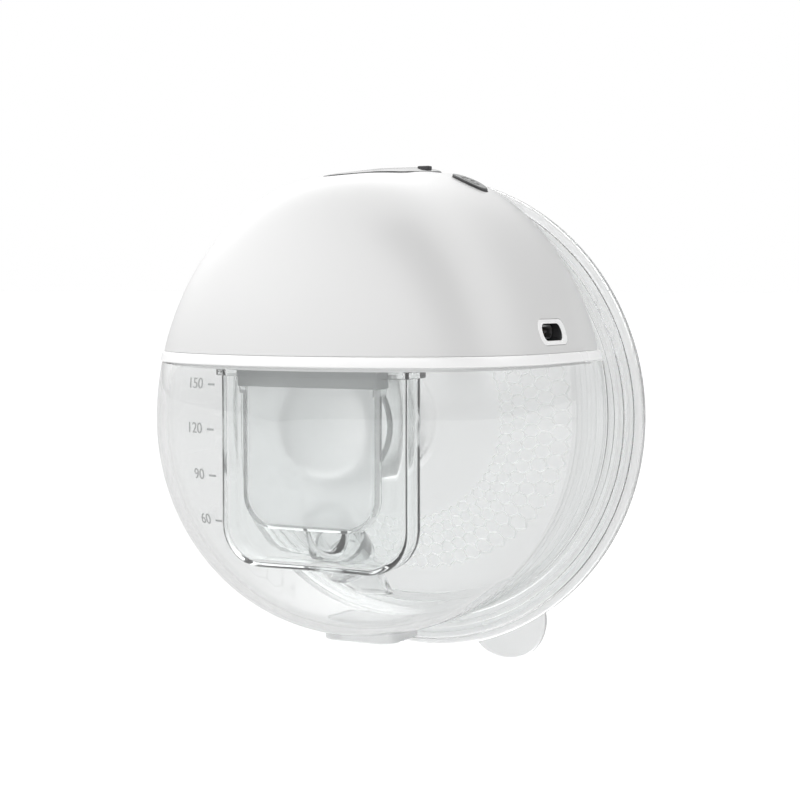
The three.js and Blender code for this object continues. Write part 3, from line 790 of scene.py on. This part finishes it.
def add_sky():
    """White studio. In reflections it has a dim gap between two wide sources and a dim rear right."""
    world = bpy.data.worlds.new("studio")
    world.use_nodes = True
    tree = world.node_tree
    g = Graph(tree)
    way = tree.nodes.new("ShaderNodeTexCoord").outputs["Generated"]
    path = tree.nodes.new("ShaderNodeLightPath")
    across = g.math("ABSOLUTE", g.dot(way, (math.cos(GAP_AZIMUTH), math.sin(GAP_AZIMUTH), 0)))
    facing = g.smooth(g.dot(way, (math.sin(GAP_AZIMUTH), -math.cos(GAP_AZIMUTH), 0)), 0, 0.3)
    gap = g.math("MULTIPLY", g.math("SUBTRACT", 1, g.smooth(across, 0.1, 0.45)), facing)
    open_part = g.math("SUBTRACT", 1, gap)
    height = g.dot(way, (0, 0, 1))
    open_part = g.math("MULTIPLY", open_part, g.smooth(height, -0.05, 0.6))
    behind = g.smooth(g.dot(way, REAR_RIGHT), 0.6, 0.95)
    open_part = g.math("MULTIPLY", open_part, g.math("MULTIPLY_ADD", behind, -REAR_DIMMING, 1))
    glossy = g.math("MULTIPLY", open_part, SKY_GLOSSY - SKY_DIFFUSE)
    strength = g.math("ADD", SKY_DIFFUSE, g.math("MULTIPLY", path.outputs["Is Glossy Ray"], glossy))
    backdrop = g.math(
        "MULTIPLY_ADD", g.smooth(g.dot(way, BACKDROP), -0.25, 0.5), SKY_THROUGH - SKY_THROUGH_SIDE,
        SKY_THROUGH_SIDE - SKY_DIFFUSE,
    )
    strength = g.math("MULTIPLY_ADD", path.outputs["Is Transmission Ray"], backdrop, strength)
    strength = g.math("MULTIPLY_ADD", path.outputs["Is Camera Ray"], SKY_CAMERA - SKY_DIFFUSE, strength)
    background = tree.nodes["Background"]
    background.inputs["Color"].default_value = (1, 1, 1, 1)
    tree.links.new(strength, background.inputs["Strength"])
    bpy.context.scene.world = world


def add_floor():
    """Wide matt floor that merges with the backdrop."""
    floor_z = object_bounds()[0].z - FLOOR_DROP
    mesh = bpy.data.meshes.new("floor")
    corners = [(x * FLOOR_REACH, y * FLOOR_REACH, floor_z) for x, y in ((-1, -1), (1, -1), (1, 1), (-1, 1))]
    mesh.from_pydata(corners, [], [(0, 1, 2, 3)])
    floor = add_object("floor", mesh)
    coating = Surface("floor_paint", (0.5, 0.5, 0.5), 0.7, Specular_IOR_Level=0.1).rough(5, 0.65, 0.75)
    path = coating.nodes.new("ShaderNodeLightPath")
    g = Graph(coating.material.node_tree)
    glow = g.math("MULTIPLY_ADD", path.outputs["Is Camera Ray"], FLOOR_GLOW_SEEN, FLOOR_GLOW)
    coating.shader.inputs["Emission Color"].default_value = (1, 1, 1, 1)
    coating.links.new(glow, coating.shader.inputs["Emission Strength"])
    mesh.materials.append(coating.material)


def add_stage():
    add_sky()
    for lamp in LAMPS:
        add_area(*lamp)
    add_floor()


BOUNCES = 32


def set_look():
    """Plain view transform, and enough bounces for the stacked clear walls."""
    scene = bpy.context.scene
    scene.view_settings.view_transform = "Standard"
    scene.cycles.max_bounces = BOUNCES
    scene.cycles.transmission_bounces = BOUNCES
    scene.cycles.transparent_max_bounces = BOUNCES
    scene.cycles.use_denoising = True


# ---- collector


def ring_profile():
    """Section of the rear ring, with the ribs on its front face."""
    outline = [(RING_INNER, RING_BACK), (RING_OUTER, RING_BACK)]
    radii = [0.3, 0.3]
    for outer, inner, height in RIBS:
        if outer < RING_OUTER:
            outline.append((outer, RING_FRONT))
            radii.append(0.1)
        outline += [(outer, height), (inner, height), (inner, RING_FRONT)]
        radii += [0.25, 0.25, 0.1]
    return rounded(outline + [(RING_INNER, RING_FRONT)], radii + [0.5])


def collector():
    """Bowl, foot and ring. The ribs' tops and the foot are frosted."""
    foot = slab_z(
        -FOOT_WIDTH / 2, FOOT_WIDTH / 2, FOOT_T - FOOT_LENGTH / 2, FOOT_T + FOOT_LENGTH / 2, FOOT_CORNER,
        FOOT_Z, FOOT_Z + 5.9, 0.5,
    )
    bowl = build(
        dome(0, 2.0), ("+", foot), ("-", dome(WALL, -5)),
        ("-", layer(PARTING_Z - GAP, FAR)), ("+", lathe(ring_profile(), FINE)),
    )
    finishes = [MATERIALS["clear"], MATERIALS["frosted"]]
    obj = piece("collector", bowl, finishes, "collector", "clear_plastic", "collector_cup")

    def finish(x, t, z, normal):
        on_rib = RING_FRONT + 0.6 < t < RIBS[0][2] + 0.6 and math.hypot(x, z) > RIBS[2][0] + 0.6
        near_foot = abs(x) < FOOT_WIDTH / 2 + 0.1 and abs(t - FOOT_T) < FOOT_LENGTH / 2 + 0.1
        foot_side = near_foot and z < FOOT_Z + 1.9 and abs(normal.z) < 0.9
        return 1 if on_rib or foot_side or z < FOOT_Z + 0.2 else 0

    paint(obj, finish)


def graduation(label, z):
    """A tick and its number, printed on the front left of the bowl."""
    across = [TICK_LEFT + TICK_STEP * k for k in range(4)]
    low, high = z - TICK_HALF_HEIGHT, z + TICK_HALF_HEIGHT
    front = [(x, nose(x, low) + PRINT_LIFT, low) for x in across]
    front += [(x, nose(x, high) + PRINT_LIFT, high) for x in reversed(across)]
    back = [(x, t - PRINT_LIFT + PRINT_SUNK, height) for x, t, height in front]
    mark = hull(loft([front, back]))
    curve = bpy.data.curves.new("number", "FONT")
    curve.body = label
    curve.size = NUMBER_SIZE * MM
    curve.extrude = 0.05 * MM
    curve.align_x = "RIGHT"
    curve.align_y = "CENTER"
    text = add_object("number", curve)
    bpy.context.view_layer.update()
    mesh = bpy.data.meshes.new_from_object(text.evaluated_get(bpy.context.evaluated_depsgraph_get()))
    bpy.data.objects.remove(text)
    for vertex in mesh.vertices:
        x, height = NUMBER_RIGHT + vertex.co.x / MM, z + vertex.co.y / MM
        depth = nose(x, height) + (PRINT_LIFT if vertex.co.z > 0 else PRINT_SUNK)
        vertex.co = at(x, depth, height)
    return [mark, add_object("number", mesh)]


def join(objects):
    """One object from several that don't touch."""
    work = bmesh.new()
    for obj in objects:
        work.from_mesh(obj.data)
    mesh = bpy.data.meshes.new("joined")
    work.to_mesh(mesh)
    work.free()
    for obj in objects:
        bpy.data.objects.remove(obj)
    return add_object("joined", mesh)


def graduations():
    """All the ticks and numbers, as one piece."""
    marks = []
    for label, z in GRADUATIONS:
        marks += graduation(label, z)
    piece("graduations", join(marks), MATERIALS["ink"], "collector", "clear_plastic", sharp=50)


# ---- linker, diaphragm and valve


def pocket_rings(half, bottom, top, corner, t0, t1, edge, plan=1.4, middle=0.0, levels=10):
    """Sections of a flat box with large lower corners, from its bottom up to its open top."""
    rings = []
    for k in range(levels + 1):
        angle = (math.pi / 2) * (1 - k / levels)
        z = bottom + corner * (1 - math.sin(angle))
        out = corner * (1 - math.cos(angle))
        rise = min(edge, z - bottom)
        thin = edge - math.sqrt(max(0.0, edge ** 2 - (edge - rise) ** 2))
        rings.append([
            (x, t, z)
            for x, t in rectangle(middle - half + out, middle + half - out, t0 + thin, t1 - thin, plan)
        ])
    rings.append([(x, t, top) for x, t in rectangle(middle - half, middle + half, t0, t1, plan)])
    return rings


def valve_point(x, along, side):
    """A point of the valve's own frame: along its axis, and to its upper side."""
    y = along * math.cos(SEAT_SLOPE) + side * math.sin(SEAT_SLOPE)
    z = -along * math.sin(SEAT_SLOPE) + side * math.cos(SEAT_SLOPE)
    return x, BOX_BACK - y, SEAT_Z + z


def valve_lathe(profile, segments=64, loop=True, squash=None):
    points, faces = lathe(profile, segments, loop, squash)
    return [valve_point(x, t, z) for x, t, z in points], faces


def lip_slab(low, high, edge):
    """Slab with the outline of the linker's lip, which the gasket shares."""
    return slab_z(
        -LIP_HALF, LIP_HALF, BOX_BACK - LIP_PROUD, BOX_FRONT + LIP_PROUD, LIP_CORNER, low, high, edge,
    )


def linker():
    """Open-topped box with its lip, the tube to the flange and the sloping valve seat."""
    outer = loft(pocket_rings(BOX_HALF, BOX_BOTTOM, BOX_TOP, BOX_CORNER, BOX_BACK, BOX_FRONT, 1.6, 1.8))
    cavity = loft(pocket_rings(
        BOX_HALF - BOX_WALL, BOX_BOTTOM + BOX_WALL, BOX_TOP + 5, BOX_CORNER - BOX_WALL,
        BOX_BACK + BOX_WALL, BOX_FRONT - BOX_WALL, 1.0, 1.0,
    ))
    tube = lathe([
        (0, BOX_BACK + 0.6), (TUBE_RADIUS, BOX_BACK + 0.6), (TUBE_RADIUS, TUBE_BACK + 0.5),
        (TUBE_RADIUS - 0.5, TUBE_BACK), (0, TUBE_BACK),
    ], 96, False)
    bore = lathe([
        (0, BOX_BACK + 2), (TUBE_BORE, BOX_BACK + 2), (TUBE_BORE, TUBE_BACK - 1), (0, TUBE_BACK - 1),
    ], 96, False)
    seat = build(
        valve_lathe([(0, -2), (SEAT_OUTER, -2), (SEAT_OUTER, SEAT_LENGTH), (0, SEAT_LENGTH)], 64, False),
        ("-", layer(-FAR, FAR, BOX_BACK + 1)),
    )
    drain = valve_lathe([
        (0, -2.4), (SEAT_BORE, -2.4), (SEAT_BORE, SEAT_LENGTH + 1), (0, SEAT_LENGTH + 1),
    ], 64, False)
    body = build(
        outer, ("+", lip_slab(BOX_TOP - LIP_HEIGHT, BOX_TOP, 0.3)), ("+", tube), ("+", seat),
        ("-", cavity), ("-", bore), ("-", drain),
    )
    piece("linker", body, MATERIALS["linker"], "linker", "linker_plastic", "linker_body")


def pocket_diaphragm():
    """Silicone pocket with a matt inside that carries a painted glow, and its neck and the gasket under the
    motor unit in grey that is painted shade.
    """
    outer = loft(pocket_rings(
        POCKET_HALF, POCKET_BOTTOM, POCKET_TOP, POCKET_CORNER, POCKET_BACK, POCKET_FRONT, 1.4, 1.6, POCKET_X,
    ))
    inner_half = POCKET_HALF - POCKET_WALL
    inner = loft(pocket_rings(
        inner_half, POCKET_BOTTOM + POCKET_WALL, PARTING_Z + 5, POCKET_CORNER - POCKET_WALL,
        POCKET_BACK + POCKET_WALL, POCKET_FRONT - POCKET_WALL, 0.8, 0.9, POCKET_X,
    ))
    rim_half, neck_half = POCKET_HALF + 0.6, POCKET_HALF + 1.0
    rim = slab_z(
        POCKET_X - rim_half, POCKET_X + rim_half, POCKET_BACK - 0.4, POCKET_FRONT + 0.1, 0.8,
        SEAL_BOTTOM - 1.7, SEAL_BOTTOM + 0.2, 0.5,
    )
    neck = slab_z(
        POCKET_X - neck_half, POCKET_X + neck_half, POCKET_BACK - 0.5, POCKET_FRONT + 0.1, 0.8,
        SEAL_BOTTOM, BOX_TOP + 0.6, 0.3,
    )
    gasket = lip_slab(BOX_TOP + GAP, PARTING_Z - GAP, 0.2)
    body = build(outer, ("+", rim), ("+", neck), ("+", gasket), ("-", inner))
    finishes = [MATERIALS["silicone"], MATERIALS["matt_silicone"], MATERIALS["seal"]]
    obj = piece("pocket_diaphragm", body, finishes, "linker", "silicone", "diaphragm")

    def finish(x, t, z, _):
        across = abs(x - POCKET_X) < inner_half + 0.1
        inside = across and POCKET_BACK + 0.5 < t < POCKET_FRONT - 0.5 and z > POCKET_BOTTOM + 0.5
        # Faces above SEAL_BOTTOM get the grey painted shade; the matt inside gets the painted glow
        return 2 if z > SEAL_BOTTOM else 1 if inside else 0

    paint(obj, finish)


def valve():
    """Duckbill: a collar over the seat and a hollow beak that flattens toward its tip."""
    collar_start, collar_end = 5.5, SEAT_LENGTH + GAP
    outline = [
        (0, BEAK_END), (4.6, BEAK_END), (5.6, 18.5), (6.3, 13.5), (VALVE_OUTER, 12),
        (VALVE_OUTER, collar_start), (SEAT_OUTER + GAP, collar_start), (SEAT_OUTER + GAP, collar_end),
        (4.6, collar_end + 0.6), (3.6, BEAK_END - BEAK_TIP), (0, BEAK_END - BEAK_TIP),
    ]
    profile = rounded(outline, [0, 0.5, 2, 1.5, 0.6, 0.5, 0.3, 0.3, 0.4, 0.3, 0])

    def flatten(x, along, side):
        share = min(1, max(0, (along - collar_end - 0.5) / (BEAK_END - collar_end)))
        return x * (1 + 0.25 * share), along, side * (1 - 0.78 * share)

    piece("valve", valve_lathe(profile, 72, False, flatten), MATERIALS["valve"], "linker", "silicone",
          "duckbill_valve")


# ---- flange


def bell_depth(radius):
    """t of the bell's front surface at a radius."""
    path = smooth_path(BELL_FRONT, 8)
    for (r0, t0), (r1, t1) in zip(path, path[1:]):
        if r0 <= radius <= r1:
            return t0 + (t1 - t0) * (radius - r0) / (r1 - r0)
    return RING_BACK - GAP


def flange():
    """Lip that grips the ring, bell, tunnel and pull tab."""
    grip = RING_OUTER + GAP
    lip = rounded([
        (grip, RING_BACK - GAP), (grip, LIP_FRONT), (RIM_RADIUS, LIP_FRONT), (RIM_RADIUS, 0), BELL_REAR[0],
    ], [0, 0.5, 1.2, 1.4, 0], 6)
    sleeve = TUBE_RADIUS + GAP
    throat = [
        (TUNNEL_RADIUS, TUBE_BACK - 0.8), (sleeve, TUBE_BACK - 0.3), (sleeve, TUNNEL_FRONT - 0.4),
        (sleeve + 0.3, TUNNEL_FRONT), (TUNNEL_OUTER - 0.5, TUNNEL_FRONT), (TUNNEL_OUTER, TUNNEL_FRONT - 0.5),
    ]
    profile = smooth_path(BELL_FRONT, 6) + lip[:-1] + smooth_path(BELL_REAR, 6) + throat
    tab_centre = TAB_REACH * math.sin(TAB_ANGLE), -TAB_REACH * math.cos(TAB_ANGLE)
    disc = rod(tab_centre, TAB_RADIUS, 0.1, 0.1 + TAB_THICK, "t", 0.8, 64)
    inside = lathe([(0, -5), (grip + 0.4, -5), (grip + 0.4, 6), (0, 6)], FINE, False)
    tab = build(disc, ("-", inside))
    body = build(lathe(profile, FINE), ("+", tab))
    finishes = [MATERIALS["flange"], MATERIALS["lip"]]
    skin = piece("flange_skin", body, finishes, "flange", "flange_silicone", "flange")
    paint(skin, lambda x, t, z, _: 1 if math.hypot(x, z) > RING_OUTER + 0.1 and t > 0.2 else 0)


def honeycomb():
    """Raised ridges round hexagonal cells that grow outward with the bell."""
    step = 2 * math.pi / COMB_CELLS
    side = step / math.sqrt(3)
    rows = int(math.log(COMB_OUTER / COMB_INNER) / (1.5 * side)) + 1
    points, faces = [], []

    def spot(u, v, lift):
        radius = COMB_INNER * math.exp(v)
        return radius * math.cos(u), bell_depth(radius) + lift, radius * math.sin(u)

    def ridge(a, b):
        du, dv = b[0] - a[0], b[1] - a[1]
        length = math.hypot(du, dv)
        across = (-dv / length * side * COMB_WIDTH, du / length * side * COMB_WIDTH)
        start = len(points)
        for f in (0, 0.5, 1):
            u, v = a[0] + du * f, a[1] + dv * f
            for way, lift in ((-1, -COMB_SUNK), (-0.5, COMB_HEIGHT), (0.5, COMB_HEIGHT), (1, -COMB_SUNK)):
                points.append(spot(u + across[0] * way, v + across[1] * way, lift))
        for k in range(2):
            a0, b0 = start + 4 * k, start + 4 * k + 4
            for i in range(4):
                j = (i + 1) % 4
                faces.append((a0 + i, a0 + j, b0 + j, b0 + i))
        faces.append((start, start + 1, start + 2, start + 3))
        faces.append((start + 11, start + 10, start + 9, start + 8))

    for row in range(rows):
        for cell in range(COMB_CELLS):
            u = (cell + 0.5 * (row % 2)) * step
            v = row * 1.5 * side
            corners = [
                (u + side * math.sin(math.pi / 3 * k), v + side * math.cos(math.pi / 3 * k)) for k in range(7)
            ]
            for k in (range(6) if row == 0 else (5, 0, 1, 2)):
                ridge(corners[k], corners[k + 1])
    piece("honeycomb", (points, faces), MATERIALS["honeycomb"], "flange", "flange_silicone", sharp=60)


# ---- motor unit shells


def bell_space(offset):
    """Room for the flange's bell behind the motor unit, moved forward by an offset."""
    back, front = MOTOR_BACK + offset, 23 + offset
    outline = [
        (80, back), (42 + offset, back), (39, 5.2 + offset), (33, 8.0 + offset),
        (27.7, 11.2 + offset), (22, 14.8 + offset), (17, 19.2 + offset), (TUNNEL_OUTER, front),
    ]
    curve = rounded(outline, [0, 3, 2, 2, 2, 2, 2, 0])
    return lathe([(0, -10), (80, -10)] + curve + [(0, front)], 160, False)


def panel_outline(grow):
    def outline(inset):
        i = inset - grow
        return rectangle(
            -PANEL_HALF + i, PANEL_HALF - i, PANEL_BACK + i, PANEL_FRONT - i, PANEL_CORNER - i, 10,
        )
    return outline


def circle_outline(cx, ct, radius, sides=56):
    def outline(inset):
        angles = [2 * math.pi * i / sides for i in range(sides)]
        return [(cx + (radius - inset) * math.cos(a), ct + (radius - inset) * math.sin(a)) for a in angles]
    return outline


def housing():
    """White shell with its openings and screw bosses. The dish is pressed into the crown at the end."""
    half_length, half_height = BEZEL_HALF_LENGTH + SEAM, BEZEL_HALF_HEIGHT + SEAM
    shell = build(
        dome(0, MOTOR_BACK, edge=0.6), ("-", dome(WALL, -5)), ("-", layer(-FAR, FLOOR_TOP + SEAM)),
        ("-", draped(panel_outline(SEAM), [(0, -1 - GAP), (0, 6)], crown)),
        ("-", slab_z(-WINDOW_HALF, WINDOW_HALF, WINDOW_BACK, WINDOW_FRONT, 2, *CROWN_CUT)),
        *[("-", rod((x, BUTTON_T), BUTTON_RADIUS + SEAM, *CROWN_CUT)) for x in (-BUTTON_X, BUTTON_X)],
        ("-", slab_x(
            BEZEL_T - half_length, BEZEL_T + half_length, PORT_Z - half_height, PORT_Z + half_height,
            BEZEL_CORNER + SEAM, 35, 60,
        )),
    )
    for place in SCREW_PLACES:
        boss = build(
            rod(place, BOSS_RADIUS, BOSS_BOTTOM, 50), ("&", dome(WALL / 2, -5)),
            ("-", rod(place, SCREW_SHANK - 0.05, 10, 28)),
        )
        combine(shell, boss, "UNION")
    for vertex in shell.data.vertices:
        x, t, z = local(vertex.co)
        if z > DISH_LOWEST:
            vertex.co.z -= dish(x, t) * MM
    white = MATERIALS["housing"]
    piece("housing_shell", shell, white, "motor_unit", "white_housing", "upper_housing", sharp=40)


def band_outline(z, grow, count=160):
    """Section of the envelope at a height, from the rear right round the nose to the rear left."""
    half, depth, high = HALF_WIDTH + grow, DEPTH + grow, TOP_HEIGHT + grow
    front = depth * (1 - (z / high) ** SHOULDER) ** (1 / NOSE)
    side = []
    for i in range(count + 1):
        f = math.sin(math.pi / 2 * i / count) ** 0.8
        t = MOTOR_BACK + (front - MOTOR_BACK) * f
        size = max(0.0, 1 - (t / depth) ** NOSE) ** (1 / SHOULDER)
        reach = half * math.sqrt(max(0.0, size ** 2 - (z / high) ** 2))
        side.append((reach, t))
    side[-1] = (0.0, front)
    return side + [(-x, t) for x, t in reversed(side[:-1])]


def floor_cover():
    """Floor with the white band round its edge, the rear wall, a locating rib and the screw columns."""
    rings = []
    for inset, z in edge_steps(PARTING_Z, FLOOR_TOP, BAND_EDGE, 4):
        rings.append([(x, t, z) for x, t in band_outline(z, BAND_PROUD - inset)])
    wall = build(dome(WALL + GAP, 0), ("&", layer(FLOOR_TOP - 0.3, FAR, 0)), ("&", bell_space(WALL)))
    rib = build(
        dome(WALL + GAP, 0), ("-", dome(WALL + GAP + RIB_WIDTH, -5)),
        ("&", layer(PARTING_Z - RIB_DEPTH, PARTING_Z + 0.5, 9)),
    )
    columns = []
    for place in SCREW_PLACES:
        columns += [
            ("+", rod(place, COLUMN_RADIUS, FLOOR_TOP - 0.2, BOSS_BOTTOM - GAP)),
            ("-", rod(place, SCREW_HEAD, PARTING_Z - 1, HEAD_TOP)),
            ("-", rod(place, SCREW_SHANK, PARTING_Z, BOSS_BOTTOM + 0.7)),
        ]
    cover = build(
        loft(rings), ("+", wall), ("+", rib), ("-", bell_space(0)), *columns,
        ("-", rod(NOZZLE_PLACE, NOZZLE_HOLE, PARTING_Z - 1, FLOOR_TOP + 1)),
    )
    piece("floor_and_rear_wall", cover, MATERIALS["base"], "motor_unit", "white_base", "base_cover", sharp=40)


# ---- controls


def crown_plate(outline, top, bottom, edge, reach, dish=0.0):
    """Plate that follows the crown, with a rounded edge and a filled middle."""
    levels = [(0, bottom)]
    for k in range(5):
        angle = (math.pi / 2) * k / 4
        levels.append((edge * (1 - math.cos(angle)), top - edge * (1 - math.sin(angle))))
    for k in range(1, 9):
        inset = edge + (reach - edge) * k / 8
        levels.append((inset, top - dish * math.sin(math.pi / 2 * k / 8)))
    return draped(outline, levels, lid)


def bar_block(grow, low, high, corner, edge=0.01):
    """Upright block over the mode button's place, grown sideways."""
    half_x, half_t = BAR_HALF_X + grow, BAR_HALF_T + grow
    return slab_z(BAR_X - half_x, BAR_X + half_x, BAR_T - half_t, BAR_T + half_t, corner, low, high, edge)


def panel():
    """Glossy plate in the crown's recess, with a hole for the mode bar."""
    plate = hull(crown_plate(panel_outline(0), 0.3, -1.0, 0.35, 5.9))
    combine(plate, bar_block(SEAM, *CROWN_CUT, 0.7), "DIFFERENCE")
    piece("panel_plate", plate, MATERIALS["panel"], "motor_unit", "panel_black", "control_panel")


def button(name, x, node, icon):
    """Round cap that follows the crown, with a dark rim, a collar below and an icon on top."""
    place = (x, BUTTON_T)
    outline = circle_outline(x, BUTTON_T, BUTTON_RADIUS)
    cap = hull(crown_plate(outline, BUTTON_PROUD, -4.5, 0.35, BUTTON_RADIUS - 0.1, 0.15))
    stem = build(
        rod(place, BUTTON_COLLAR, COLLAR_LOW, COLLAR_HIGH),
        ("+", rod(place, STEM_RADIUS, STEM_BOTTOM, COLLAR_LOW + 0.5, sides=24)),
        ("+", rod(place, BUTTON_RADIUS - 0.8, COLLAR_HIGH - 0.2, crown(x, BUTTON_T) - 2.4)),
    )
    combine(cap, stem, "UNION")
    obj = piece(name + "_cap", cap, [MATERIALS["grey"], MATERIALS["rubber_dark"]], name, "button_grey", node)
    rim = BUTTON_RADIUS - 0.38
    paint(obj, lambda px, t, z, _: 1 if math.hypot(px - x, t - BUTTON_T) > rim else 0)
    low, high = BUTTON_PROUD - 0.3, BUTTON_PROUD - 0.03
    marks = [hull(crown_plate(shape, high, low, 0.05, 0.2)) for shape in icon(x)]
    piece(name + "_icon", join(marks), MATERIALS["icon"], name, "button_grey")


def arc_outline(cx, ct, radius, width, start, end, steps=24):
    """Part of a ring, as seen from above."""
    def outline(inset):
        outer, inner = radius + width / 2 - inset, radius - width / 2 + inset
        angles = [start + (end - start) * k / steps for k in range(steps + 1)]
        far = [(cx + outer * math.cos(a), ct + outer * math.sin(a)) for a in angles]
        near = [(cx + inner * math.cos(a), ct + inner * math.sin(a)) for a in reversed(angles)]
        return far + near
    return outline


def bar_outline(cx, ct, half_x, half_t, r=0.3):
    def outline(inset):
        x, t = half_x - inset, half_t - inset
        return rectangle(cx - x, cx + x, ct - t, ct + t, r, 4)
    return outline


def power_icon(x):
    gap = math.radians(38)
    turn = -math.pi / 2
    return [
        arc_outline(x, BUTTON_T, 2.0, 0.55, turn + gap, turn + 2 * math.pi - gap),
        bar_outline(x, BUTTON_T - 1.6, 0.28, 1.0),
    ]


def level_icon(x):
    return [bar_outline(x, BUTTON_T, 1.9, 0.3), bar_outline(x, BUTTON_T - 1.15, 0.3, 0.8),
            bar_outline(x, BUTTON_T + 1.15, 0.3, 0.8)]


def mode_bar():
    """Upright bar with a foot under the panel and a stem to its switch."""
    body = build(
        bar_block(0, BAR_FOOT_LOW + 0.4, crown(BAR_X, BAR_T) + BAR_PROUD, 0.6, 0.25),
        ("+", bar_block(0.7, BAR_FOOT_LOW, BAR_FOOT_LOW + 0.8, 0.3, 0.1)),
        ("+", rod((BAR_X, BAR_T), STEM_RADIUS, STEM_BOTTOM, BAR_FOOT_LOW + 0.2, sides=24)),
    )
    piece("mode_bar", body, MATERIALS["moulded"], "mode_button", "bar_black", "mode_button")


# ---- charging port


def upright(t, half_length, half_height, corner):
    """Points round a rectangle on the flank, at the height of the port."""
    return rectangle(t - half_length, t + half_length, PORT_Z - half_height, PORT_Z + half_height, corner, 10)


def bezel():
    """Surround that follows the flank, with a raised rim round the opening."""
    def ring(share, grow, lift):
        """share goes from the outer edge (0) to the opening (1). A lift of None is the inner end."""
        outer = upright(BEZEL_T, BEZEL_HALF_LENGTH + grow, BEZEL_HALF_HEIGHT + grow, BEZEL_CORNER + grow)
        mouth = upright(PORT_T, MOUTH_HALF_LENGTH + grow, MOUTH_HALF_HEIGHT + grow, MOUTH_CORNER + grow)
        points = []
        for (ta, za), (tb, zb) in zip(outer, mouth):
            t, z = ta + (tb - ta) * share, za + (zb - za) * share
            points.append((BEZEL_BACK_X if lift is None else flank(t, z) + lift, t, z))
        return points

    rings = [ring(0, 0, None), ring(0, 0, -0.2), ring(0, -0.08, -0.04), ring(0, -0.22, 0.02)]
    rings += [ring(share, -0.22 + 0.62 * share, 0.02) for share in (0.2, 0.4, 0.6, 0.8)]
    rim = ((0.42, 0.03), (0.34, 0.13), (0.2, 0.17), (0.07, 0.12), (0, -0.02), (0, -0.3), (0, None))
    rings += [ring(1, grow, lift) for grow, lift in rim]
    obj = piece("port_surround", loft(rings, True), [MATERIALS["base"], MATERIALS["moulded"]], "motor_unit",
                "white_housing", "port_bezel")

    def finish(x, t, z, normal):
        inward = normal.y * (t - PORT_T) - normal.z * (z - PORT_Z) > 0.1
        return 1 if inward and x < flank(t, z) - 0.1 else 0

    paint(obj, finish)


def port_slab(half_length, half_height, corner, x0, x1, edge=0.2):
    """Slab round the middle of the port."""
    return slab_x(
        PORT_T - half_length, PORT_T + half_length, PORT_Z - half_height, PORT_Z + half_height,
        corner, x0, x1, edge,
    )


def socket():
    """Steel shell with its tongue, the contacts on both sides of it and a dark liner behind."""
    inner_length, inner_height = SOCKET_HALF_LENGTH - SOCKET_WALL, SOCKET_HALF_HEIGHT - SOCKET_WALL
    body = build(
        port_slab(SOCKET_HALF_LENGTH, SOCKET_HALF_HEIGHT, 1.5, SOCKET_BACK_X, SOCKET_FRONT_X, 0.1),
        ("-", port_slab(inner_length, inner_height, 1.15, SOCKET_FLOOR_X, SOCKET_FRONT_X + 1.6)),
    )
    piece("socket_shell", body, MATERIALS["steel"], "motor_unit", "socket_steel", "usb_socket")
    tongue = port_slab(3.3, 0.35, 0.2, SOCKET_FLOOR_X + 0.1, SOCKET_FRONT_X - 0.8, 0.1)
    piece("socket_tongue", tongue, MATERIALS["moulded"], "motor_unit", "socket_steel")
    contacts = []
    for i in range(12):
        t = PORT_T + (i - 5.5) * 0.5
        for z in (PORT_Z - 0.36, PORT_Z + 0.36):
            strip = slab_x(t - 0.13, t + 0.13, z - 0.05, z + 0.05, 0.03, 39, 43.3, 0.02)
            contacts.append(hull(strip))
    piece("socket_contacts", join(contacts), MATERIALS["brass"], "motor_unit", "socket_steel")
    liner = port_slab(inner_length - 0.1, inner_height - 0.1, 1.1, SOCKET_FLOOR_X + 0.05, 38.2, 0.05)
    piece("socket_liner", liner, MATERIALS["moulded"], "motor_unit", "socket_steel")


# ---- inner parts


def spring():
    """Return spring of the release valve as a coil of wire, short enough to clear the pressed plunger."""
    rings = []
    steps = SPRING_TURNS * 24
    for i in range(steps + 1):
        turn = 2 * math.pi * SPRING_TURNS * i / steps
        z = SPRING_LOW + (SPRING_HIGH - SPRING_LOW) * i / steps
        ring = []
        for k in range(8):
            angle = 2 * math.pi * k / 8
            reach = SPRING_RADIUS + SPRING_WIRE * math.cos(angle)
            ring.append((
                SPRING_X + reach * math.cos(turn), SPRING_T + reach * math.sin(turn),
                z + SPRING_WIRE * math.sin(angle),
            ))
        rings.append(ring)
    piece("coil_spring", loft(rings), MATERIALS["steel"], "motor_unit", "screw_steel", "plunger_spring")


# The CAD nodes that each finish goes to
INNER_FINISH = {
    "steel": [f"case_screw_{k}" for k in (1, 2, 3, 4)] + [f"board_screw_{k}" for k in (1, 2)] + [
        "solenoid_plunger",
    ],
    "moulded": ["power_switch", "level_switch", "mode_switch", "solenoid_body"],
    "nylon": ["pump_head", "pump_cover", "motor_saddle", "air_nozzle"],
    "silicone": ["suction_hose", "release_hose"],
    "circuit": ["main_board", "charging_board"],
    "panel": ["led_display"],
    "foil": ["battery_cell"],
    "foam": ["battery_pad"],
    "can": ["pump_motor"],
    "brass": ["eccentric"],
}


def finish_inner_parts():
    """The CAD nodes that are shown as they are get their finish and softened edges."""
    for node, material in [(node, finish) for finish, nodes in INNER_FINISH.items() for node in nodes]:
        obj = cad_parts[node]
        obj.data.materials.clear()
        obj.data.materials.append(MATERIALS[material])
        bevel = obj.modifiers.new("soft_edges", "BEVEL")
        bevel.width = 0.1 * MM
        bevel.segments = 2
        bevel.limit_method = "ANGLE"
        bevel.angle_limit = math.radians(50)


# ---- the scene

set_look()
add_camera()
add_stage()
collector()
graduations()
linker()
pocket_diaphragm()
valve()
flange()
honeycomb()
housing()
floor_cover()
panel()
button("power_button", BUTTON_X, "power_button", power_icon)
button("level_button", -BUTTON_X, "level_button", level_icon)
mode_bar()
bezel()
socket()
spring()
finish_inner_parts()
